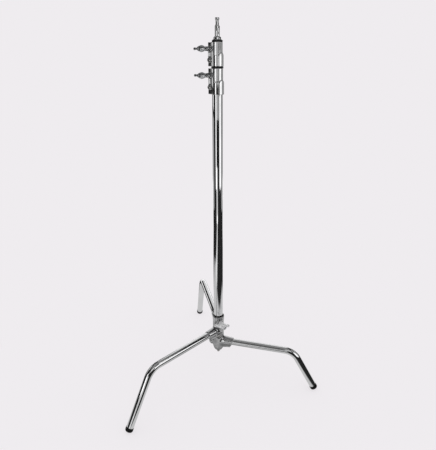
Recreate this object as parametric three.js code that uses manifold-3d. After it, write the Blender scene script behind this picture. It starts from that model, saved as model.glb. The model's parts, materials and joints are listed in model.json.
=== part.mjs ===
// A c stand: a three-section chrome column in a base of three legs that nest.
//
// Millimetres and degrees, +Z up. Everything is laid out round the column's axis (X = Y = 0, the floor
// at Z = 0), and the finished stand is moved so that its origin is the middle of its footprint's box.
// Azimuths are counted anticlockwise from +X, seen from above. The front of the stand faces -Y.

import * as THREE from 'three';
import { mergeVertices } from 'three/addons/utils/BufferGeometryUtils.js';
import Module from 'manifold-3d';

const wasm = await Module();
wasm.setup();

// ---------------------------------------------------------------- driving dimensions

const GAP = 0.3;                  // clearance between two pieces that touch
const TUBE_WALL = 1.5;            // column and risers
const COLUMN_R = 17.5;
const RISER_1_R = 15;
const RISER_2_R = 12.5;

const PIN_TOP_Z = 1340;
const PIN_HEIGHT = 54;
const PIN_R = 7.95;               // a 5/8 inch stud

const RING_HEIGHT = 5.6;          // plastic bush on top of each collar
const CAP_HEIGHT = 10.5;          // tapered plug under the pin
const UPPER_COLLAR_HEIGHT = 72.5;
const LOWER_COLLAR_HEIGHT = 80.6;

const EAR_AZIMUTH = 137;          // the split side of both collars

const LEG_R = 13;                 // leg tubes
const LEG_WALL = 2;
const LEG_BEND_R = 58;
const LEG_BEND_STEPS = 6;
const FOOT_R = 14.3;
const FOOT_TOP = 20;              // along the leg from the floor to the rubber's lip
const FOOT_CORNER = 7;            // radius round the rubber's end
const FOOT_WEAR = 0.8;            // depth of the flat it stands on

const POST_R = 17;                // the castings turn on this
const SPIGOT_R = 14.3;            // a 1 1/8 inch spigot
const SOCKET_RIM_Z = 271.5;
const BARREL_R = 22;              // wall of each casting's hub
const BARREL_EDGE = 3;            // bevel round its rims

// Each leg leaves the hub level, bends at `corner` and comes down to the floor at `reach`. A casting
// fills its own band of the post, so that each leg swings clear of the others.
const LEGS = {
  top: {
    azimuth: 101.9, height: 243, corner: 362, reach: 466, band: [222.5, SOCKET_RIM_Z],
    sleeveR: 17.3,
  },
  middle: {
    azimuth: 225.5, height: 205, corner: 338, reach: 451.5, band: [178, 221.6],
    sleeveR: 17.3, lobeZ: 200, lobeR: 11.5, lobeReach: 43,
  },
  bottom: {
    azimuth: 344.2, height: 157, corner: 302, reach: 394.5, band: [131, 177],
    sleeveR: 19, lobeZ: 151, lobeR: 15.5, lobeReach: 39,
  },
};
const SLEEVE_END = 62;            // how far a casting's sleeve reaches along its leg

const BASE_SCREW_AZIMUTH = 285;
const BASE_SCREW_Z = 254.5;
const BASE_HANDLE_TURN = -10;     // degrees from level, anticlockwise seen from in front

// ---------------------------------------------------------------- heights that follow from them

const PIN_BASE_Z = PIN_TOP_Z - PIN_HEIGHT;
const CAP_BASE_Z = PIN_BASE_Z - CAP_HEIGHT;
const UPPER_RING_Z = CAP_BASE_Z - GAP - RING_HEIGHT;
const UPPER_COLLAR_Z = UPPER_RING_Z - GAP - UPPER_COLLAR_HEIGHT;
const LOWER_RING_Z = UPPER_COLLAR_Z - GAP - RING_HEIGHT;
const LOWER_COLLAR_Z = LOWER_RING_Z - GAP - LOWER_COLLAR_HEIGHT;

const TAPER_TOP_Z = SOCKET_RIM_Z + 5.5;     // the column's foot narrows into the socket's mouth
const TAPER_BOTTOM_Z = TAPER_TOP_Z - 15;
const SPIGOT_END_Z = 187;
const COLUMN_PLUG_TOP_Z = TAPER_TOP_Z + 38;

// ---------------------------------------------------------------- materials

const CHROME = { color: 0xd4d5d8, roughness: 0.12, metalness: 1 };
const COLLAR = { color: 0xcfd0d3, roughness: 0.18, metalness: 1 };
const CAST = { color: 0xa9abad, roughness: 0.32, metalness: 1 };
const KNOB = { color: 0x9b9c9f, roughness: 0.28, metalness: 1 };
const ZINC = { color: 0xd8d8da, roughness: 0.4, metalness: 1 };
const STEEL = { color: 0xb9babc, roughness: 0.3, metalness: 1 };
const BLACK_PLASTIC = { color: 0x111112, roughness: 0.45, metalness: 0 };
const RUBBER = { color: 0x0d0d0d, roughness: 0.8, metalness: 0 };
const BRASS = { color: 0xb08a3e, roughness: 0.35, metalness: 1 };

// ---------------------------------------------------------------- solids, joins and cuts

const WELD = 1e-4;
const FINE = 28;                  // sides of a large round
const MEDIUM = 16;
const SMALL = 12;

const radians = THREE.MathUtils.degToRad;

/** A closed, outward-facing manifold solid from any three.js geometry. */
function solidOf(geometry) {
  const bare = geometry.clone();
  bare.deleteAttribute('normal');
  bare.deleteAttribute('uv');
  const merged = mergeVertices(bare, WELD);
  const position = merged.attributes.position;
  const [a, b, c] = [new THREE.Vector3(), new THREE.Vector3(), new THREE.Vector3()];
  const triangles = [];
  let volume = 0;
  for (let i = 0; i < merged.index.count; i += 3) {
    const corners = [0, 1, 2].map((k) => merged.index.getX(i + k));
    if (new Set(corners).size < 3) continue;
    [a, b, c].forEach((point, k) => point.fromBufferAttribute(position, corners[k]));
    volume += a.dot(b.cross(c));
    triangles.push(corners);
  }
  if (volume < 0) triangles.forEach((corners) => corners.reverse());
  return new wasm.Manifold(new wasm.Mesh({
    numProp: 3,
    vertProperties: Float32Array.from(position.array),
    triVerts: Uint32Array.from(triangles.flat()),
  }));
}

function geometryOf(solid) {
  const { vertProperties, triVerts, numProp } = solid.getMesh();
  const count = vertProperties.length / numProp;
  const position = new Float32Array(count * 3);
  for (let i = 0; i < count; i += 1) {
    for (let k = 0; k < 3; k += 1) position[3 * i + k] = vertProperties[numProp * i + k];
  }
  const geometry = new THREE.BufferGeometry();
  geometry.setAttribute('position', new THREE.BufferAttribute(position, 3));
  geometry.setIndex(new THREE.BufferAttribute(Uint32Array.from(triVerts), 1));
  return geometry;
}

const join = (...parts) => geometryOf(parts.map(solidOf).reduce((whole, part) => whole.add(part)));
const cut = (body, ...tools) =>
  geometryOf(tools.map(solidOf).reduce((whole, tool) => whole.subtract(tool), solidOf(body)));
const common = (body, other) => geometryOf(solidOf(body).intersect(solidOf(other)));

/** A body of revolution about +Z; the profile is [radius, z] pairs. */
function turned(profile, segments = FINE) {
  const points = profile.map(([radius, z]) => new THREE.Vector2(radius, z));
  return new THREE.LatheGeometry(points, segments).rotateX(Math.PI / 2);
}

/** A body of revolution about +X; the profile is [radius, x] pairs. */
const turnedX = (profile, segments = FINE) => turned(profile, segments).rotateY(Math.PI / 2);

function rod(radius, z0, z1, segments = MEDIUM) {
  return new THREE.CylinderGeometry(radius, radius, z1 - z0, segments)
    .rotateX(Math.PI / 2)
    .translate(0, 0, (z0 + z1) / 2);
}

const rodX = (radius, x0, x1, segments = MEDIUM) => rod(radius, x0, x1, segments).rotateY(Math.PI / 2);
const rodY = (radius, y0, y1, segments = MEDIUM) => rod(radius, y0, y1, segments).rotateX(-Math.PI / 2);

/** A tube standing on z0. */
function ring(outer, inner, z0, z1, segments = FINE) {
  return turned([[inner, z0], [outer, z0], [outer, z1], [inner, z1], [inner, z0]], segments);
}

function block(x0, x1, y0, y1, z0, z1) {
  return new THREE.BoxGeometry(x1 - x0, y1 - y0, z1 - z0)
    .translate((x0 + x1) / 2, (y0 + y1) / 2, (z0 + z1) / 2);
}

/** A plate standing in the XZ plane: the shape's x and y become X and Z, centred on Y = 0. */
function plateXZ(shape, thickness, bevel = 0) {
  const depth = thickness - 2 * bevel;
  return new THREE.ExtrudeGeometry(shape, {
    depth,
    curveSegments: 8,
    bevelEnabled: bevel > 0,
    bevelSize: bevel,
    bevelOffset: -bevel,
    bevelThickness: bevel,
    bevelSegments: 3,
  }).translate(0, 0, -depth / 2).rotateX(Math.PI / 2);
}

/** A hexagonal bar with two of its flats facing +X and -X. */
const hexagon = (acrossFlats, z0, z1) =>
  rod(acrossFlats / Math.sqrt(3), z0, z1, 6).rotateZ(Math.PI / 6);

function piece(name, geometry, look) {
  const mesh = new THREE.Mesh(geometryOf(solidOf(geometry)), new THREE.MeshStandardMaterial(look));
  mesh.name = name;
  return mesh;
}

function groupOf(...children) {
  const group = new THREE.Group();
  group.add(...children);
  return group;
}

// ---------------------------------------------------------------- T-handles

// In a handle's own frame the screw runs along +Z, out of the clamp, and the cross bar lies along X.
const STUD_R = 5;
const BALL_STEPS = 4;             // facets from a ball end's neck to its tip
const COLLAR_HANDLE = {
  hubZ: 44, halfBar: 33.8, ballR: 4.3, armR: 3.3, hubR: 10, stemR: 7.2, stemZ: 11.2,
};
const BASE_HANDLE = {
  hubZ: 52, halfBar: 31, ballR: 6.2, armR: 4.6, hubR: 10.5, stemR: 7.6, stemZ: 32,
};

/** The die-cast knob: a lozenge-shaped cross bar with ball ends, on a round stem. */
function handleKnob({ hubZ, halfBar, ballR, armR, hubR, stemR, stemZ }) {
  const neckX = halfBar - ballR - Math.sqrt(ballR ** 2 - armR ** 2);
  const half = [[hubR, 0], [hubR * 0.96, 3], [hubR * 0.8, 7.5], [armR * 1.5, 14], [armR, neckX]];
  for (let step = 1; step <= BALL_STEPS; step += 1) {
    const start = Math.PI - Math.asin(armR / ballR);
    const angle = start * (1 - step / BALL_STEPS);
    const radius = step === BALL_STEPS ? 0 : ballR * Math.sin(angle);
    half.push([radius, halfBar - ballR + ballR * Math.cos(angle)]);
  }
  const otherHalf = half.slice(1).map(([radius, x]) => [radius, -x]).reverse();
  const bar = turnedX([...otherHalf, ...half], MEDIUM).translate(0, 0, hubZ);
  const stem = turned([
    [0, stemZ], [stemR - 1, stemZ], [stemR, stemZ + 1], [stemR, hubZ - 12], [hubR * 0.9, hubZ - 5],
    [hubR * 0.9, hubZ + 6], [hubR * 0.6, hubZ + 9.5], [0, hubZ + 10.5],
  ], MEDIUM);
  return cut(join(bar, stem), rod(STUD_R + GAP, stemZ - 1, hubZ - 4 + GAP, SMALL));
}

function stud(z0, z1) {
  return turned([
    [0, z0], [STUD_R - 1, z0], [STUD_R, z0 + 1], [STUD_R, z1 - 1], [STUD_R - 1, z1], [0, z1],
  ], SMALL);
}

// ---------------------------------------------------------------- clamp collars

// In a collar's own frame its foot is at Z = 0, the ears point along +X, and the handle is on the +Y side.
const EAR_ROOT_X = 8;
const EAR_HOLE_X = 28;
const EAR_END_X = 35.5;
const EAR_HALF = 6.8;             // half the two ears and the split between them
const SPLIT = 2.6;
const BOSS_HEIGHT = 2.4;
const BOLT_BOSS = 1.4;
const BOLT_R = 4;
const BOLT_HEAD_R = 7.4;
const NUT_FLATS = 13;
const CLAMP_NUT_FLATS = 16;
const WASHER_R = 8.6;
const WASHER_HEIGHT = 1.2;
const PAD_WIDTH = 22;
const POCKET_X = 27;              // the scoop in each ear, between its two bosses
const POCKET_R = 8;
const POCKET_DEPTH = 2.6;

/** The ears: one rounded plate as tall as the collar, later split down the middle. */
function ears(height) {
  const corner = 5;
  const outline = new THREE.Shape();
  outline.moveTo(EAR_ROOT_X, 0);
  outline.lineTo(EAR_END_X - corner, 0);
  outline.absarc(EAR_END_X - corner, corner, corner, -Math.PI / 2, 0, false);
  outline.lineTo(EAR_END_X, height - corner);
  outline.absarc(EAR_END_X - corner, height - corner, corner, 0, Math.PI / 2, false);
  outline.lineTo(EAR_ROOT_X, height);
  return plateXZ(outline, 2 * EAR_HALF);
}

/** The raised pad opposite the ears: an arch from the collar's foot to half its height. */
function archPad(height, radius) {
  const half = PAD_WIDTH / 2;
  const outline = new THREE.Shape();
  outline.moveTo(-half, 0);
  outline.lineTo(half, 0);
  outline.lineTo(half, height - half);
  outline.absarc(0, height - half, half, 0, Math.PI, false);
  outline.lineTo(-half, 0);
  const reach = 40;
  const slab = plateXZ(outline, reach).translate(0, reach / 2, 0).rotateZ(Math.PI / 2);
  return common(slab, rod(radius, 0, height, FINE));
}

/** The shallow relief cut into the upper front of a collar, between its jaw and its far edge. */
function frontRelief(inner, outer, z0, z1) {
  const halfAngle = radians(73);
  const outline = new THREE.Shape();
  outline.absarc(0, 0, outer + 5, Math.PI - halfAngle, Math.PI + halfAngle, false);
  outline.absarc(0, 0, inner, Math.PI + halfAngle, Math.PI - halfAngle, true);
  return new THREE.ExtrudeGeometry(outline, { depth: z1 - z0, bevelEnabled: false, curveSegments: 24 })
    .translate(0, 0, z0);
}

function collarCasting(dimensions) {
  const { height, stepZ, outerR, upperR, padR, lowerBoreR, upperBoreR, screwZ, boltZ } = dimensions;
  const padHeight = stepZ + 4;
  const body = turned([
    [EAR_ROOT_X, 0], [outerR - 1, 0], [outerR, 1], [outerR, height - 1], [outerR - 1, height],
    [EAR_ROOT_X, height], [EAR_ROOT_X, 0],
  ]);
  const bosses = [
    rodY(9, 0, EAR_HALF + BOSS_HEIGHT).translate(EAR_HOLE_X, 0, screwZ),
    rodY(8, 0, EAR_HALF + BOLT_BOSS).translate(EAR_HOLE_X, 0, boltZ),
  ];
  const pocketTop = screwZ - 11;
  const pocketBottom = boltZ + 10;
  const pockets = [1, -1].map((side) => rod(POCKET_R, pocketBottom, pocketTop)
    .translate(POCKET_X, side * (EAR_HALF + POCKET_R - POCKET_DEPTH), 0));
  const relieved = cut(body, frontRelief(upperR, outerR, padHeight - 8, height + 1));
  return cut(
    join(relieved, ears(height), archPad(padHeight, padR), ...bosses),
    rod(lowerBoreR, -1, stepZ, FINE),
    rod(upperBoreR, stepZ - 1, height + 1, FINE),
    block(0, EAR_END_X + 1, -SPLIT / 2, SPLIT / 2, -1, height + 1),
    rodY(STUD_R + GAP, -20, 20, SMALL).translate(EAR_HOLE_X, 0, screwZ),
    rodY(BOLT_R + GAP, -20, 20, SMALL).translate(EAR_HOLE_X, 0, boltZ),
    ...pockets,
  );
}

/** Domed bolt through the ears, its head on the handle's side. Its own +Z is the collar's +Y. */
function clampBolt() {
  const head = EAR_HALF + BOLT_BOSS + GAP;
  return turned([
    [0, -16.5], [BOLT_R - 0.8, -16.5], [BOLT_R, -15.7], [BOLT_R, head], [BOLT_HEAD_R, head],
    [BOLT_HEAD_R, head + 1.2], [BOLT_HEAD_R * 0.86, head + 3], [BOLT_HEAD_R * 0.5, head + 4.3],
    [0, head + 4.8],
  ], SMALL);
}

function nut(acrossFlats, holeR, z0, z1) {
  return cut(hexagon(acrossFlats, z0, z1), rod(holeR, z0 - 1, z1 + 1, SMALL));
}

/** One collar with its hardware; the T-handle that turns is returned beside it. */
function collarSet(prefix, z, dimensions) {
  const { height, ringR, upperBoreR, screwZ, boltZ } = dimensions;
  const back = -EAR_HALF - GAP;
  const front = EAR_HALF + BOSS_HEIGHT + GAP;
  const boltAxis = groupOf(
    piece(`${prefix}_collar_bolt`, clampBolt(), STEEL),
    piece(`${prefix}_collar_nut`, nut(NUT_FLATS, BOLT_R + GAP, back - 6.5, back), STEEL),
  );
  const screwAxis = groupOf(
    piece(`${prefix}_clamp_nut`, nut(CLAMP_NUT_FLATS, STUD_R + GAP, back - 8, back), STEEL),
    piece(`${prefix}_handle_stud`, stud(back - 11.5, COLLAR_HANDLE.hubZ - 4), STEEL),
    piece(`${prefix}_handle_knob`, handleKnob(COLLAR_HANDLE), KNOB),
    piece(
      `${prefix}_handle_washer`,
      ring(WASHER_R, STUD_R + GAP, front, front + WASHER_HEIGHT, MEDIUM),
      STEEL,
    ),
  );
  boltAxis.position.set(EAR_HOLE_X, 0, boltZ);
  screwAxis.position.set(EAR_HOLE_X, 0, screwZ);
  [boltAxis, screwAxis].forEach((axis) => axis.rotateX(-Math.PI / 2));
  const collar = groupOf(
    piece(`${prefix}_collar`, collarCasting(dimensions), COLLAR),
    piece(`${prefix}_collar_ring`, bushRing(ringR, upperBoreR, height + GAP), BLACK_PLASTIC),
    boltAxis,
    screwAxis,
  );
  collar.position.z = z;
  collar.rotateZ(radians(EAR_AZIMUTH));
  return collar;
}

function bushRing(outer, inner, z0) {
  const z1 = z0 + RING_HEIGHT;
  return turned([
    [inner, z0], [outer - 0.6, z0], [outer, z0 + 0.8], [outer, z1 - 1.2], [outer - 1.2, z1],
    [inner + 0.8, z1], [inner, z1 - 0.8], [inner, z0],
  ]);
}

const LOWER_COLLAR = {
  height: LOWER_COLLAR_HEIGHT, stepZ: 41, outerR: 20, upperR: 18.4, padR: 22.2,
  lowerBoreR: COLUMN_R + GAP, upperBoreR: RISER_1_R + GAP, ringR: 19.8, screwZ: 59.5, boltZ: 22,
};
const UPPER_COLLAR = {
  height: UPPER_COLLAR_HEIGHT, stepZ: 37.5, outerR: 18.6, upperR: 17.1, padR: 20.4,
  lowerBoreR: RISER_1_R + GAP, upperBoreR: RISER_2_R + GAP, ringR: 17.3, screwZ: 53, boltZ: 19.5,
};

// ---------------------------------------------------------------- column and risers

function tubeSection(outer, z0, z1) {
  return ring(outer, outer - TUBE_WALL, z0, z1);
}

/** Turned plug: pressed into the tube's foot, tapering down to the spigot that drops into the base. */
function columnSpigot() {
  const plugR = COLUMN_R - TUBE_WALL - GAP;
  return turned([
    [0, SPIGOT_END_Z], [SPIGOT_R - 1.5, SPIGOT_END_Z], [SPIGOT_R, SPIGOT_END_Z + 1.5],
    [SPIGOT_R, TAPER_BOTTOM_Z], [COLUMN_R, TAPER_TOP_Z], [plugR, TAPER_TOP_Z],
    [plugR, COLUMN_PLUG_TOP_Z], [0, COLUMN_PLUG_TOP_Z],
  ]);
}

const GLIDE_GUIDE = 15;
const GLIDE_PLUG = 18;

/** Plastic glide: a collar under the riser's end and a hollow plug inside it. */
function glide(guideR, riserR, riserEndZ) {
  const plugR = riserR - TUBE_WALL - GAP;
  const boreR = plugR - 3;
  const [low, high] = [riserEndZ - GLIDE_GUIDE, riserEndZ + GLIDE_PLUG];
  return turned([
    [boreR, low], [guideR, low], [guideR, riserEndZ - GAP], [plugR, riserEndZ - GAP],
    [plugR, high], [boreR, high], [boreR, low],
  ], MEDIUM);
}

const PIN_STEM_R = 5;
const PIN_SEAT_Z = CAP_BASE_Z - 8;          // foot of the pin's hole in the plug

/** Top plug of the second riser: a thin flange on the upper ring, a plain band and a sloped top. */
function topCap() {
  const plugR = RISER_2_R - TUBE_WALL - GAP;
  const plugZ = CAP_BASE_Z - 30;
  const flangeR = 15;
  const bandR = 12.3;
  const pinHoleR = PIN_STEM_R + GAP;
  const topZ = PIN_BASE_Z - GAP;
  return turned([
    [0, plugZ], [plugR, plugZ], [plugR, CAP_BASE_Z], [flangeR - 0.6, CAP_BASE_Z],
    [flangeR, CAP_BASE_Z + 0.6], [flangeR - 0.6, CAP_BASE_Z + 1.4], [bandR, CAP_BASE_Z + 1.8],
    [bandR, topZ - 3.2], [bandR - 1, topZ - 2], [9.2, topZ], [pinHoleR, topZ],
    [pinHoleR, PIN_SEAT_Z], [0, PIN_SEAT_Z],
  ]);
}

/** The stud that heads clamp to: a shank, a turned neck and a small head. */
function babyPin() {
  const neckR = 5.4;
  const headR = 6.7;
  return turned([
    [0, PIN_SEAT_Z + GAP], [PIN_STEM_R, PIN_SEAT_Z + GAP], [PIN_STEM_R, PIN_BASE_Z],
    [PIN_R - 0.5, PIN_BASE_Z], [PIN_R, PIN_BASE_Z + 0.5], [PIN_R, PIN_TOP_Z - 24.5],
    [PIN_R - 0.6, PIN_TOP_Z - 23.6], [neckR, PIN_TOP_Z - 21.5], [neckR, PIN_TOP_Z - 8],
    [headR, PIN_TOP_Z - 6], [headR, PIN_TOP_Z - 1], [headR - 1, PIN_TOP_Z], [0, PIN_TOP_Z],
  ], MEDIUM);
}

function columnAndRisers() {
  const riser1FootZ = COLUMN_PLUG_TOP_Z + 24;
  const riser2FootZ = riser1FootZ + 40;
  const columnTopZ = LOWER_COLLAR_Z + LOWER_COLLAR.stepZ - GAP;
  const riser1TopZ = UPPER_COLLAR_Z + UPPER_COLLAR.stepZ - GAP;
  return groupOf(
    piece('column_tube', tubeSection(COLUMN_R, TAPER_TOP_Z + GAP, columnTopZ), CHROME),
    piece('column_spigot', columnSpigot(), STEEL),
    collarSet('lower', LOWER_COLLAR_Z, LOWER_COLLAR),
    piece('riser_1_tube', tubeSection(RISER_1_R, riser1FootZ, riser1TopZ), CHROME),
    piece('riser_1_glide', glide(COLUMN_R - TUBE_WALL - GAP, RISER_1_R, riser1FootZ), BLACK_PLASTIC),
    collarSet('upper', UPPER_COLLAR_Z, UPPER_COLLAR),
    piece('riser_2_tube', tubeSection(RISER_2_R, riser2FootZ, CAP_BASE_Z - GAP), CHROME),
    piece('riser_2_glide', glide(RISER_1_R - TUBE_WALL - GAP, RISER_2_R, riser2FootZ), BLACK_PLASTIC),
    piece('riser_2_cap', topCap(), CHROME),
    piece('baby_pin', babyPin(), CHROME),
  );
}

// ---------------------------------------------------------------- legs

/** A leg's centre line in its own XZ plane: level, round one bend, then straight to the floor. */
class LegPath extends THREE.Curve {
  constructor({ height, corner, reach }, startX, tipLift) {
    super();
    this.lean = Math.atan2(reach - corner, height);
    this.turn = Math.PI / 2 - this.lean;
    const setback = LEG_BEND_R * Math.tan(this.turn / 2);
    this.start = new THREE.Vector3(startX, 0, height);
    this.bendStart = new THREE.Vector3(corner - setback, 0, height);
    this.tip = new THREE.Vector3(reach - tipLift * Math.sin(this.lean), 0, tipLift * Math.cos(this.lean));
    this.bendEnd = this.alongBend(1);
  }

  alongBend(fraction) {
    const angle = fraction * this.turn;
    return new THREE.Vector3(
      this.bendStart.x + LEG_BEND_R * Math.sin(angle),
      0,
      this.bendStart.z - LEG_BEND_R * (1 - Math.cos(angle)),
    );
  }

  // One step for each straight, and the rest round the bend.
  getPoint(t) {
    const step = t * (LEG_BEND_STEPS + 2);
    if (step <= 1) return this.start.clone().lerp(this.bendStart, step);
    if (step >= LEG_BEND_STEPS + 1) return this.bendEnd.clone().lerp(this.tip, step - LEG_BEND_STEPS - 1);
    return this.alongBend((step - 1) / LEG_BEND_STEPS);
  }

  getTangent(t) {
    const fraction = THREE.MathUtils.clamp((t * (LEG_BEND_STEPS + 2) - 1) / LEG_BEND_STEPS, 0, 1);
    const heading = fraction * this.turn;
    return new THREE.Vector3(Math.cos(heading), 0, -Math.sin(heading));
  }

  getUtoTmapping(u) {
    return u;
  }
}

const LEG_START_X = 27;
const TIP_LIFT = 10;              // from the floor, along the leg, to the tube's end

function legTube(path) {
  const section = new THREE.Shape();
  section.absarc(0, 0, LEG_R, 0, 2 * Math.PI, false);
  const bore = new THREE.Path();
  bore.absarc(0, 0, LEG_R - LEG_WALL, 0, 2 * Math.PI, true);
  section.holes.push(bore);
  return new THREE.ExtrudeGeometry(section, {
    steps: LEG_BEND_STEPS + 2,
    curveSegments: MEDIUM / 2,
    extrudePath: path,
  });
}

/** Rubber foot: a cap on the tube's end, rounded at its rim, with a small flat where it stands. */
function legFoot(leg, { lean }) {
  const socketR = LEG_R + GAP;
  const rimR = FOOT_R - FOOT_CORNER;
  const touching = (FOOT_CORNER + rimR * Math.sin(lean)) / Math.cos(lean) - FOOT_CORNER;
  const end = touching - FOOT_WEAR;
  const rim = [0, 1, 2, 3].map((step) => {
    const angle = step * Math.PI / 6;
    return [rimR + FOOT_CORNER * Math.sin(angle), end + FOOT_CORNER * (1 - Math.cos(angle))];
  });
  const cap = turned([
    [0, end], ...rim, [FOOT_R, FOOT_TOP - 1], [FOOT_R - 0.6, FOOT_TOP], [socketR, FOOT_TOP],
    [socketR, TIP_LIFT - GAP], [0, TIP_LIFT - GAP],
  ], MEDIUM).rotateY(-lean).translate(leg.reach, 0, 0);
  return common(cap, block(leg.reach - 60, leg.reach + 60, -30, 30, 0, 60));
}

// ---------------------------------------------------------------- leg castings

/** The rounded boss on the far side of a casting's hub from its leg. */
function counterLobe({ lobeZ, lobeR, lobeReach }) {
  const nose = [0.5, 0.8, 1].map((fraction) => {
    const angle = fraction * Math.PI / 2;
    return [fraction === 1 ? 0 : lobeR * Math.cos(angle), -(lobeReach - lobeR + lobeR * Math.sin(angle))];
  });
  return turnedX([[0, 0], [lobeR, 0], [lobeR, lobeR - lobeReach], ...nose], MEDIUM).translate(0, 0, lobeZ);
}

const SLEEVE_START = 10;
const SLEEVE_TAPER_X = 28;
const SLEEVE_MOUTH_R = LEG_R + 1.9;
const SLEEVE_SLANT = 14;          // degrees that the mouth leans back towards its underside

/** The tapered sleeve that holds the leg tube, cut back towards its underside. */
function sleeve({ height, sleeveR }) {
  const cone = turnedX([
    [0, SLEEVE_START], [sleeveR, SLEEVE_START], [sleeveR, SLEEVE_TAPER_X],
    [SLEEVE_MOUTH_R + 0.6, SLEEVE_END - 2], [SLEEVE_MOUTH_R, SLEEVE_END], [0, SLEEVE_END],
  ], MEDIUM).translate(0, 0, height);
  const slant = block(0, 60, -40, 40, -60, 60)
    .rotateY(radians(SLEEVE_SLANT))
    .translate(SLEEVE_END - 3, 0, height);
  return cut(cone, slant);
}

const WEB_ROOT_X = 6;
const WEB_TIP_X = 53;
const WEB_TIP_R = 9;
const WEB_WIDTH = 24;
const WEB_DROP = 23;              // below the leg's centre line, unless the hub's own foot is higher

/** The lowest point of a casting under its sleeve. */
const underside = ({ height, band: [bottomZ] }) => Math.max(bottomZ + 3, height - WEB_DROP);

/** The rounded web that carries the sleeve, from the bottom of the hub to under the sleeve's mouth. */
function gusset(leg) {
  const { height, band: [bottomZ] } = leg;
  const tipX = WEB_TIP_X - WEB_TIP_R;
  const tipZ = underside(leg) + WEB_TIP_R;
  const outline = new THREE.Shape();
  outline.moveTo(WEB_ROOT_X, bottomZ);
  outline.lineTo(BARREL_R + 2, bottomZ);
  outline.lineTo(tipX - 4, underside(leg));
  outline.absarc(tipX, tipZ, WEB_TIP_R, -Math.PI / 2, 0, false);
  outline.lineTo(WEB_TIP_X, height);
  outline.lineTo(WEB_ROOT_X, height);
  return plateXZ(outline, WEB_WIDTH, 3);
}

/** What is cut from every casting: the post's bore, the tube's, and the narrower one behind the tube. */
function legBores({ height, band: [bottomZ, topZ] }) {
  return {
    post: rod(POST_R + GAP, bottomZ - 1, topZ + 1, FINE),
    tube: rodX(LEG_R + GAP, LEG_START_X - GAP, 2 * SLEEVE_END).translate(0, 0, height),
    inner: rodX(LEG_R - 3, POST_R, LEG_START_X, SMALL).translate(0, 0, height),
  };
}

const SCREW_HEAD_R = 3.8;
const SCREW_R = 2.5;
const SCREW_X = 44;

/** The small screw under a sleeve that keeps the tube in; its own +Z points up at the tube. */
function sleeveScrew(legHeight, floorZ) {
  const top = legHeight - LEG_R - 2 * GAP;
  const head = floorZ - GAP;
  return turned([
    [0, head - 2.6], [SCREW_HEAD_R * 0.7, head - 2.4], [SCREW_HEAD_R, head - 1], [SCREW_HEAD_R, head],
    [SCREW_R, head], [SCREW_R, top], [0, top],
  ], SMALL).translate(SCREW_X, 0, 0);
}

function castingBody(leg) {
  const [bottomZ, topZ] = leg.band;
  const faceR = BARREL_R - BARREL_EDGE;
  const barrel = turned([
    [0, bottomZ], [faceR, bottomZ], [BARREL_R, bottomZ + BARREL_EDGE], [BARREL_R, topZ - BARREL_EDGE],
    [faceR, topZ], [0, topZ],
  ]);
  return join(barrel, sleeve(leg), gusset(leg));
}

function screwHole(leg) {
  return rod(SCREW_R + GAP, leg.height - 40, leg.height - 5, SMALL).translate(SCREW_X, 0, 0);
}

const SOCKET_FUNNEL_Z = 262;
const SOCKET_MOUTH_R = BARREL_R - 1.6;
const SOCKET_RIM_EDGE = 1.5;

/** Top casting: the column's socket, the fixed leg and the boss for the locking screw. */
function topCasting() {
  const leg = LEGS.top;
  const boss = turnedX([
    [0, 12], [11, 12], [10.5, 24], [9.5, 30], [8.5, 31], [0, 31],
  ], MEDIUM).rotateZ(radians(BASE_SCREW_AZIMUTH - leg.azimuth)).translate(0, 0, BASE_SCREW_Z);
  const rim = turned([
    [0, BASE_SCREW_Z], [BARREL_R, BASE_SCREW_Z], [BARREL_R, SOCKET_RIM_Z - SOCKET_RIM_EDGE],
    [BARREL_R - SOCKET_RIM_EDGE, SOCKET_RIM_Z], [0, SOCKET_RIM_Z],
  ]);
  const funnel = turned([
    [0, SOCKET_FUNNEL_Z], [POST_R + GAP, SOCKET_FUNNEL_Z], [SOCKET_MOUTH_R, SOCKET_RIM_Z + 0.5],
    [0, SOCKET_RIM_Z + 0.5],
  ]);
  const screwBore = rodX(STUD_R + GAP, 10, 40, SMALL)
    .rotateZ(radians(BASE_SCREW_AZIMUTH - leg.azimuth))
    .translate(0, 0, BASE_SCREW_Z);
  return cut(
    join(castingBody(leg), rim, boss),
    ...Object.values(legBores(leg)), funnel, screwBore, screwHole(leg),
  );
}

const PLUNGER_AZIMUTH = 277;
const PLUNGER_Z = 192;
const PLUNGER_BOSS_R = 12.5;
const PLUNGER_R = 6.5;
const PLUNGER_FACE = 29;          // the boss's face, from the post's axis
const PLUNGER_RECESS_R = 10;
const PLUNGER_RECESS = 3.5;       // depth of the recess round the plug

/** Middle casting: its front boss holds the plunger. */
function middleCasting() {
  const leg = LEGS.middle;
  const place = (tool) => tool.rotateZ(radians(PLUNGER_AZIMUTH - leg.azimuth)).translate(0, 0, PLUNGER_Z);
  const boss = place(turnedX([
    [0, 12], [PLUNGER_BOSS_R, 12], [PLUNGER_BOSS_R, PLUNGER_FACE - 2], [PLUNGER_BOSS_R - 2, PLUNGER_FACE],
    [0, PLUNGER_FACE],
  ], MEDIUM));
  const pocket = place(rodX(PLUNGER_R + GAP, BARREL_R - 1, PLUNGER_FACE + 1, SMALL));
  const recess = place(rodX(PLUNGER_RECESS_R, PLUNGER_FACE - PLUNGER_RECESS, PLUNGER_FACE + 1));
  const clearTop = rod(BARREL_R + 1, leg.band[1], leg.band[1] + 20, FINE);
  return cut(
    join(castingBody(leg), counterLobe(leg), boss),
    ...Object.values(legBores(leg)), pocket, recess, clearTop, screwHole(leg),
  );
}

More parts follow.
